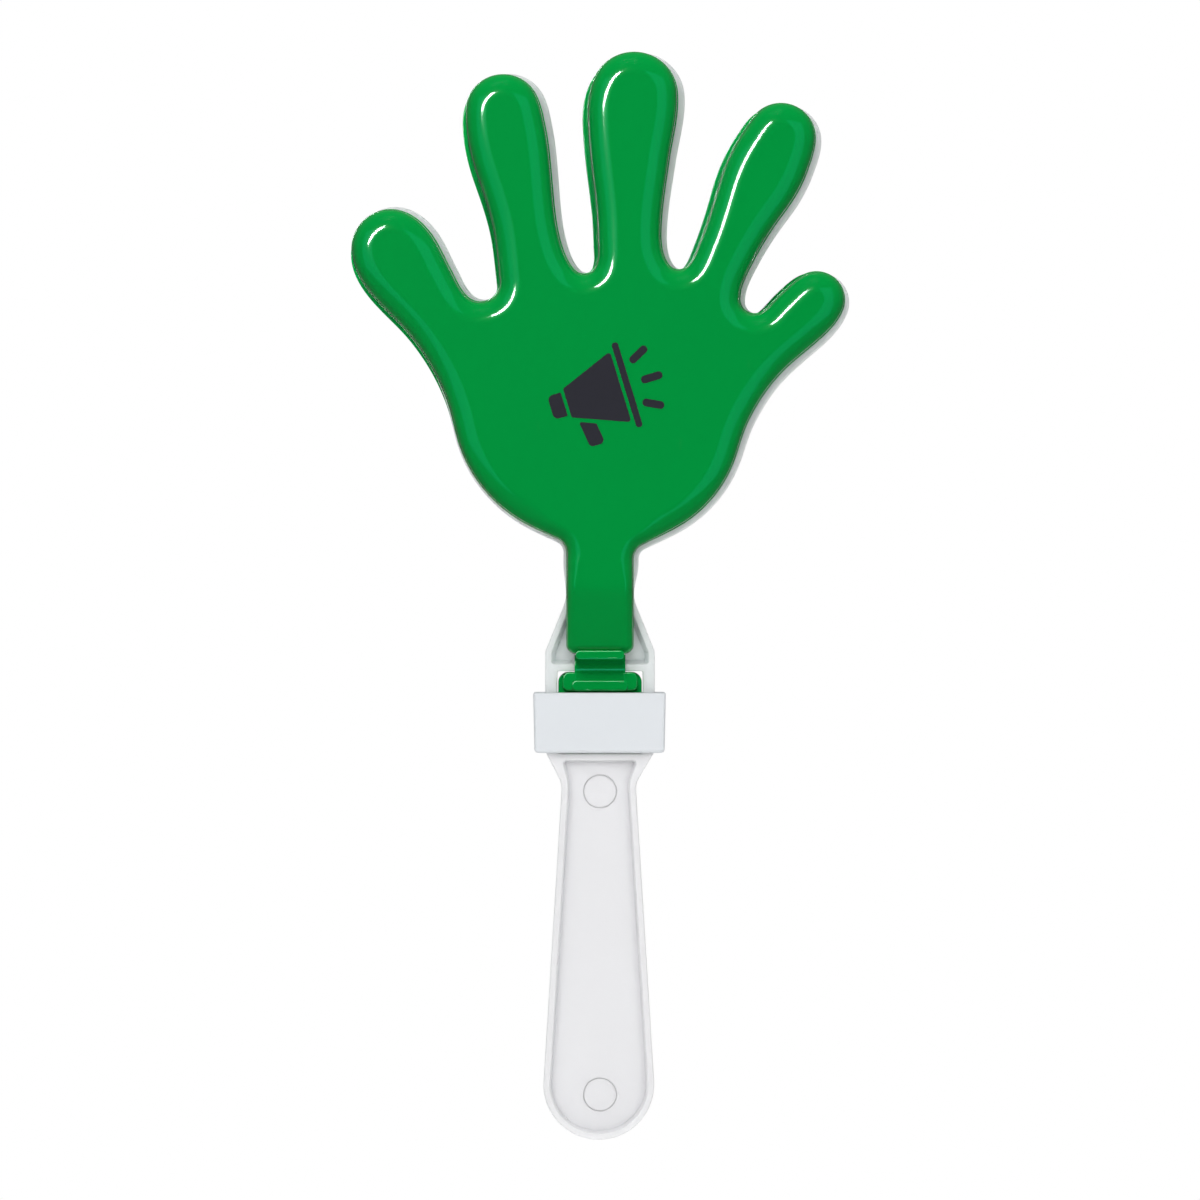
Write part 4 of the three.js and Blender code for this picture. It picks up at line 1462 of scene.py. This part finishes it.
class CLAPPER_OT_stage(bpy.types.Operator):
    """Makes the floor, the light and the camera"""

    bl_idname = "clapper.stage"
    bl_label = "Stage"

    def execute(self, context):
        stage = context.scene.clapper_stage
        context.scene.view_settings.view_transform = "Standard"
        self.world(stage)
        self.floor(stage)
        self.lamps(stage)
        lens = bpy.data.cameras.new("camera")
        lens.sensor_width = 36
        lens.lens = lens.sensor_width * stage.camera_distance / stage.view_width
        camera = bpy.data.objects.new("camera", lens)
        context.scene.collection.objects.link(camera)
        camera.location = (0, -stage.camera_distance, stage.view_height)
        camera.rotation_euler = (math.pi / 2, 0, 0)
        context.scene.camera = camera
        return {"FINISHED"}

    @staticmethod
    def world(stage):
        """An even light, a white background for the camera, and a studio that gloss reflects."""
        world = bpy.data.worlds.new("studio")
        bpy.context.scene.world = world
        world.use_nodes = True
        world.node_tree.nodes.clear()
        white = (1, 1, 1, 1)
        made = fill(world.node_tree, {
            "rays": ("ShaderNodeLightPath", (-500, 300)),
            "where": ("ShaderNodeTexCoord", (-500, -50)),
            "parts": ("ShaderNodeSeparateXYZ", (-300, -50)),
            "half": ("ShaderNodeMapRange", (-200, -200), {}, {"From Min": -1}),
            "ramp": ("ShaderNodeValToRGB", (-100, 0)),
            "glossy": ("ShaderNodeMath", (-250, 300), {"operation": "MAXIMUM"}),
            "soft": ("ShaderNodeBackground", (200, -150), {},
                     {"Color": white, "Strength": stage.ambient}),
            "room": ("ShaderNodeBackground", (200, 0)),
            "plain": ("ShaderNodeBackground", (200, 150), {}, {"Color": white, "Strength": 1}),
            "inner": ("ShaderNodeMixShader", (400, -50)),
            "outer": ("ShaderNodeMixShader", (550, 50)),
            "end": ("ShaderNodeOutputWorld", (700, 0)),
        }, """
            where.Generated > parts.0
            parts.Y > half.Value
            half.0 > ramp.Fac
            ramp.Color > room.Color
            rays.Is Glossy Ray > glossy.0
            rays.Is Transmission Ray > glossy.1
            glossy.0 > inner.0
            soft.0 > inner.1
            room.0 > inner.2
            rays.Is Camera Ray > outer.0
            inner.0 > outer.1
            plain.0 > outer.2
            outer.0 > end.Surface
        """)
        # The studio is dark in front of the clapper and pale behind it.
        stops = [(0.0, 0.0), (0.07, 0.01), (0.25, 0.03), (0.5, 0.1), (0.9, 0.14)]
        elements = made["ramp"].color_ramp.elements
        while len(elements) < len(stops):
            elements.new(0.5)
        for element, (position, value) in zip(elements, stops):
            element.position = position
            element.color = (value, value, value, 1)

    @staticmethod
    def floor(stage):
        """A pale round floor that fades into the background towards its rim."""
        mesh = bpy.data.meshes.new("floor")
        turns = [2 * math.pi * i / FLOOR_SIDES for i in range(FLOOR_SIDES)]
        ring = [(FLOOR_RADIUS * math.cos(a), FLOOR_RADIUS * math.sin(a), stage.floor_height)
                for a in turns]
        mesh.from_pydata(ring, [], [tuple(range(FLOOR_SIDES))])
        floor = bpy.data.objects.new("floor", mesh)
        bpy.context.scene.collection.objects.link(floor)
        material = bpy.data.materials.new("pale_floor")
        material.use_nodes = True
        material.node_tree.nodes.clear()
        fade = {"From Min": FLOOR_RADIUS * 0.35, "From Max": FLOOR_RADIUS * 0.97}
        fill(material.node_tree, {
            "where": ("ShaderNodeTexCoord", (-700, 0)),
            "flat": ("ShaderNodeVectorMath", (-500, 0), {"operation": "MULTIPLY"}, {1: (1, 1, 0)}),
            "reach": ("ShaderNodeVectorMath", (-300, 0), {"operation": "LENGTH"}),
            "fade": ("ShaderNodeMapRange", (-100, 0), {"interpolation_type": "SMOOTHSTEP"}, fade),
            "pale": ("ShaderNodeBsdfDiffuse", (100, 100), {}, {"Color": (0.88, 0.88, 0.88, 1)}),
            "glow": ("ShaderNodeEmission", (100, -100)),
            "blend": ("ShaderNodeMixShader", (400, 0)),
            "end": ("ShaderNodeOutputMaterial", (700, 0)),
        }, """
            where.Object > flat.0
            flat.Vector > reach.0
            reach.Value > fade.Value
            fade.0 > blend.0
            pale.0 > blend.1
            glow.0 > blend.2
            blend.0 > end.Surface
        """)
        mesh.materials.append(material)
        floor.visible_glossy = False

    @staticmethod
    def lamps(stage):
        """Softboxes that light the pieces' bodies, and others that only shine on their gloss."""
        middle = Vector((0, 0, stage.view_height))

        def collect(name, wanted):
            made = bpy.data.collections.new(name)
            for obj in bpy.context.scene.objects:
                if obj.type == "MESH" and wanted(obj):
                    made.objects.link(obj)
            return made

        def is_shiny(obj):
            return "green_gloss_plastic" in obj.data.materials

        def is_pale(obj):
            return not is_shiny(obj) and obj.name != "floor"

        def is_hand(obj):
            return is_shiny(obj) and "_hand_" in obj.name

        shiny = collect("shiny_pieces", is_shiny)
        hands = collect("shiny_hands", is_hand)
        lip = collect("shiny_front_lip", lambda obj: obj.name == "front_hand_lip")
        rear = collect("shiny_back_hand", lambda obj: obj.name.startswith("back_hand_"))
        small = collect("shiny_small_pieces", lambda obj: is_shiny(obj) and not is_hand(obj))
        pale = collect("pale_pieces", is_pale)
        other = collect("other_pieces", lambda obj: not is_pale(obj))

        def softbox(name, turn, off_axis, wide, long, power, receivers=None,
                    colour=None, shape="RECTANGLE"):
            """A softbox placed by its angle off the camera's axis and the way it is turned about
            that axis from the right. Its long side runs round the axis. It lights the pieces it
            is given, or else all. With a colour it only shines on their gloss, and without one
            it only lights their bodies."""
            a, b = math.radians(turn), math.radians(off_axis)
            way = Vector((math.sin(b) * math.cos(a), -math.cos(b), math.sin(b) * math.sin(a)))
            round_axis = Vector((-math.sin(a), 0, math.cos(a)))
            data = bpy.data.lights.new(name, "AREA")
            data.shape = shape
            data.size, data.size_y, data.energy = long, wide, power
            data.color = colour or WHITE_LIGHT
            lamp = bpy.data.objects.new(name, data)
            bpy.context.scene.collection.objects.link(lamp)
            turned = Matrix((round_axis, way.cross(round_axis), way)).transposed().to_4x4()
            lamp.matrix_world = Matrix.Translation(middle + way * LAMP_DISTANCE) @ turned
            lamp.visible_diffuse = not colour
            lamp.visible_glossy = bool(colour)
            lamp.visible_camera = False
            if receivers:
                lamp.light_linking.receiver_collection = receivers

        softbox("key", 97, 54, 0.6, 0.6, 26.2, other)
        softbox("pale_key", 122, 36, 1.7, 1.7, 19.2, pale)
        softbox("pale_fill", 8, 34, 1.5, 1.5, 6.2, pale)
        softbox("fill", 10, 35, 1.2, 1.2, 2.5)
        softbox("back", 90, 140, 1.0, 1.0, 16)
        softbox("back_fill", 215, 95, 0.8, 0.8, 14, rear)
        softbox("rear_edge", 205, 30, 0.8, 0.8, 13, rear)
        softbox("key_gloss", 137, 25, 0.14, 0.64, 30, hands, CREAM_LIGHT, "ELLIPSE")
        softbox("right_gloss", 5, 27, 0.9, 1.5, 4.5, shiny, LEAF_LIGHT)
        softbox("right_inner_gloss", 5, 27, 0.45, 1.5, 2, shiny, LEAF_LIGHT)
        softbox("left_gloss", 170, 28, 0.9, 1.2, 3.5, shiny, LEAF_LIGHT)
        softbox("rim_gloss", 224, 130, 1.6, 1.4, 45, lip, WARM_LIGHT)
        softbox("edge_gloss", 125, 52, 1.1, 2.2, 80, small, WHITE_LIGHT)
        softbox("low_edge_gloss", -80, 55, 1.1, 2.2, 26, small, LEAF_LIGHT)
        softbox("back_gloss", 43, 155, 0.12, 0.62, 40, rear, WHITE_LIGHT)
        softbox("back_side_gloss", 172, 150, 0.9, 1.2, 9, rear, LEAF_LIGHT)


class CLAPPER_PT_panel(bpy.types.Panel):
    """Lists the clapper's sizes, finishes and pieces"""

    bl_idname = "CLAPPER_PT_panel"
    bl_label = "Hand Clapper"
    bl_space_type = "VIEW_3D"
    bl_region_type = "UI"
    bl_category = "Clapper"

    def draw(self, context):
        for title, group, operators in PANEL_ROWS:
            box = self.layout.box()
            box.label(text=title)
            if group:
                settings = getattr(context.scene, group)
                for key in settings.__annotations__:
                    box.prop(settings, key)
            for operator in operators:
                box.operator(operator)


PANEL_ROWS = (
    ("Hands", "clapper_hands", ("clapper.hands",)),
    ("Hinges", "clapper_hinges", ("clapper.hinges",)),
    ("Handle", "clapper_handle", ("clapper.handle",)),
    ("Collar", "clapper_collar", ("clapper.collar",)),
    ("Finish", "clapper_finish", ("clapper.print",)),
    ("Stage", "clapper_stage", ("clapper.stage",)),
)

SETTINGS = {
    "clapper_hands": ClapperHandSizes,
    "clapper_hinges": ClapperHingeSizes,
    "clapper_handle": ClapperHandleSizes,
    "clapper_collar": ClapperCollarSizes,
    "clapper_finish": ClapperFinish,
    "clapper_stage": ClapperStage,
}

CLASSES = (
    *SETTINGS.values(),
    CLAPPER_OT_hands,
    CLAPPER_OT_hinges,
    CLAPPER_OT_handle,
    CLAPPER_OT_collar,
    CLAPPER_OT_print,
    CLAPPER_OT_stage,
    CLAPPER_PT_panel,
)


def register():
    for cls in CLASSES:
        bpy.utils.register_class(cls)
    for key, cls in SETTINGS.items():
        setattr(bpy.types.Scene, key, PointerProperty(type=cls))


def unregister():
    for key in SETTINGS:
        delattr(bpy.types.Scene, key)
    for cls in reversed(CLASSES):
        bpy.utils.unregister_class(cls)


def main():
    """Builds every piece."""
    register()
    bpy.ops.clapper.hands()
    bpy.ops.clapper.hinges()
    bpy.ops.clapper.handle()
    bpy.ops.clapper.collar()
    bpy.ops.clapper.print()
    bpy.ops.clapper.stage()
    bpy.context.view_layer.update()


if __name__ == "__main__":
    main()
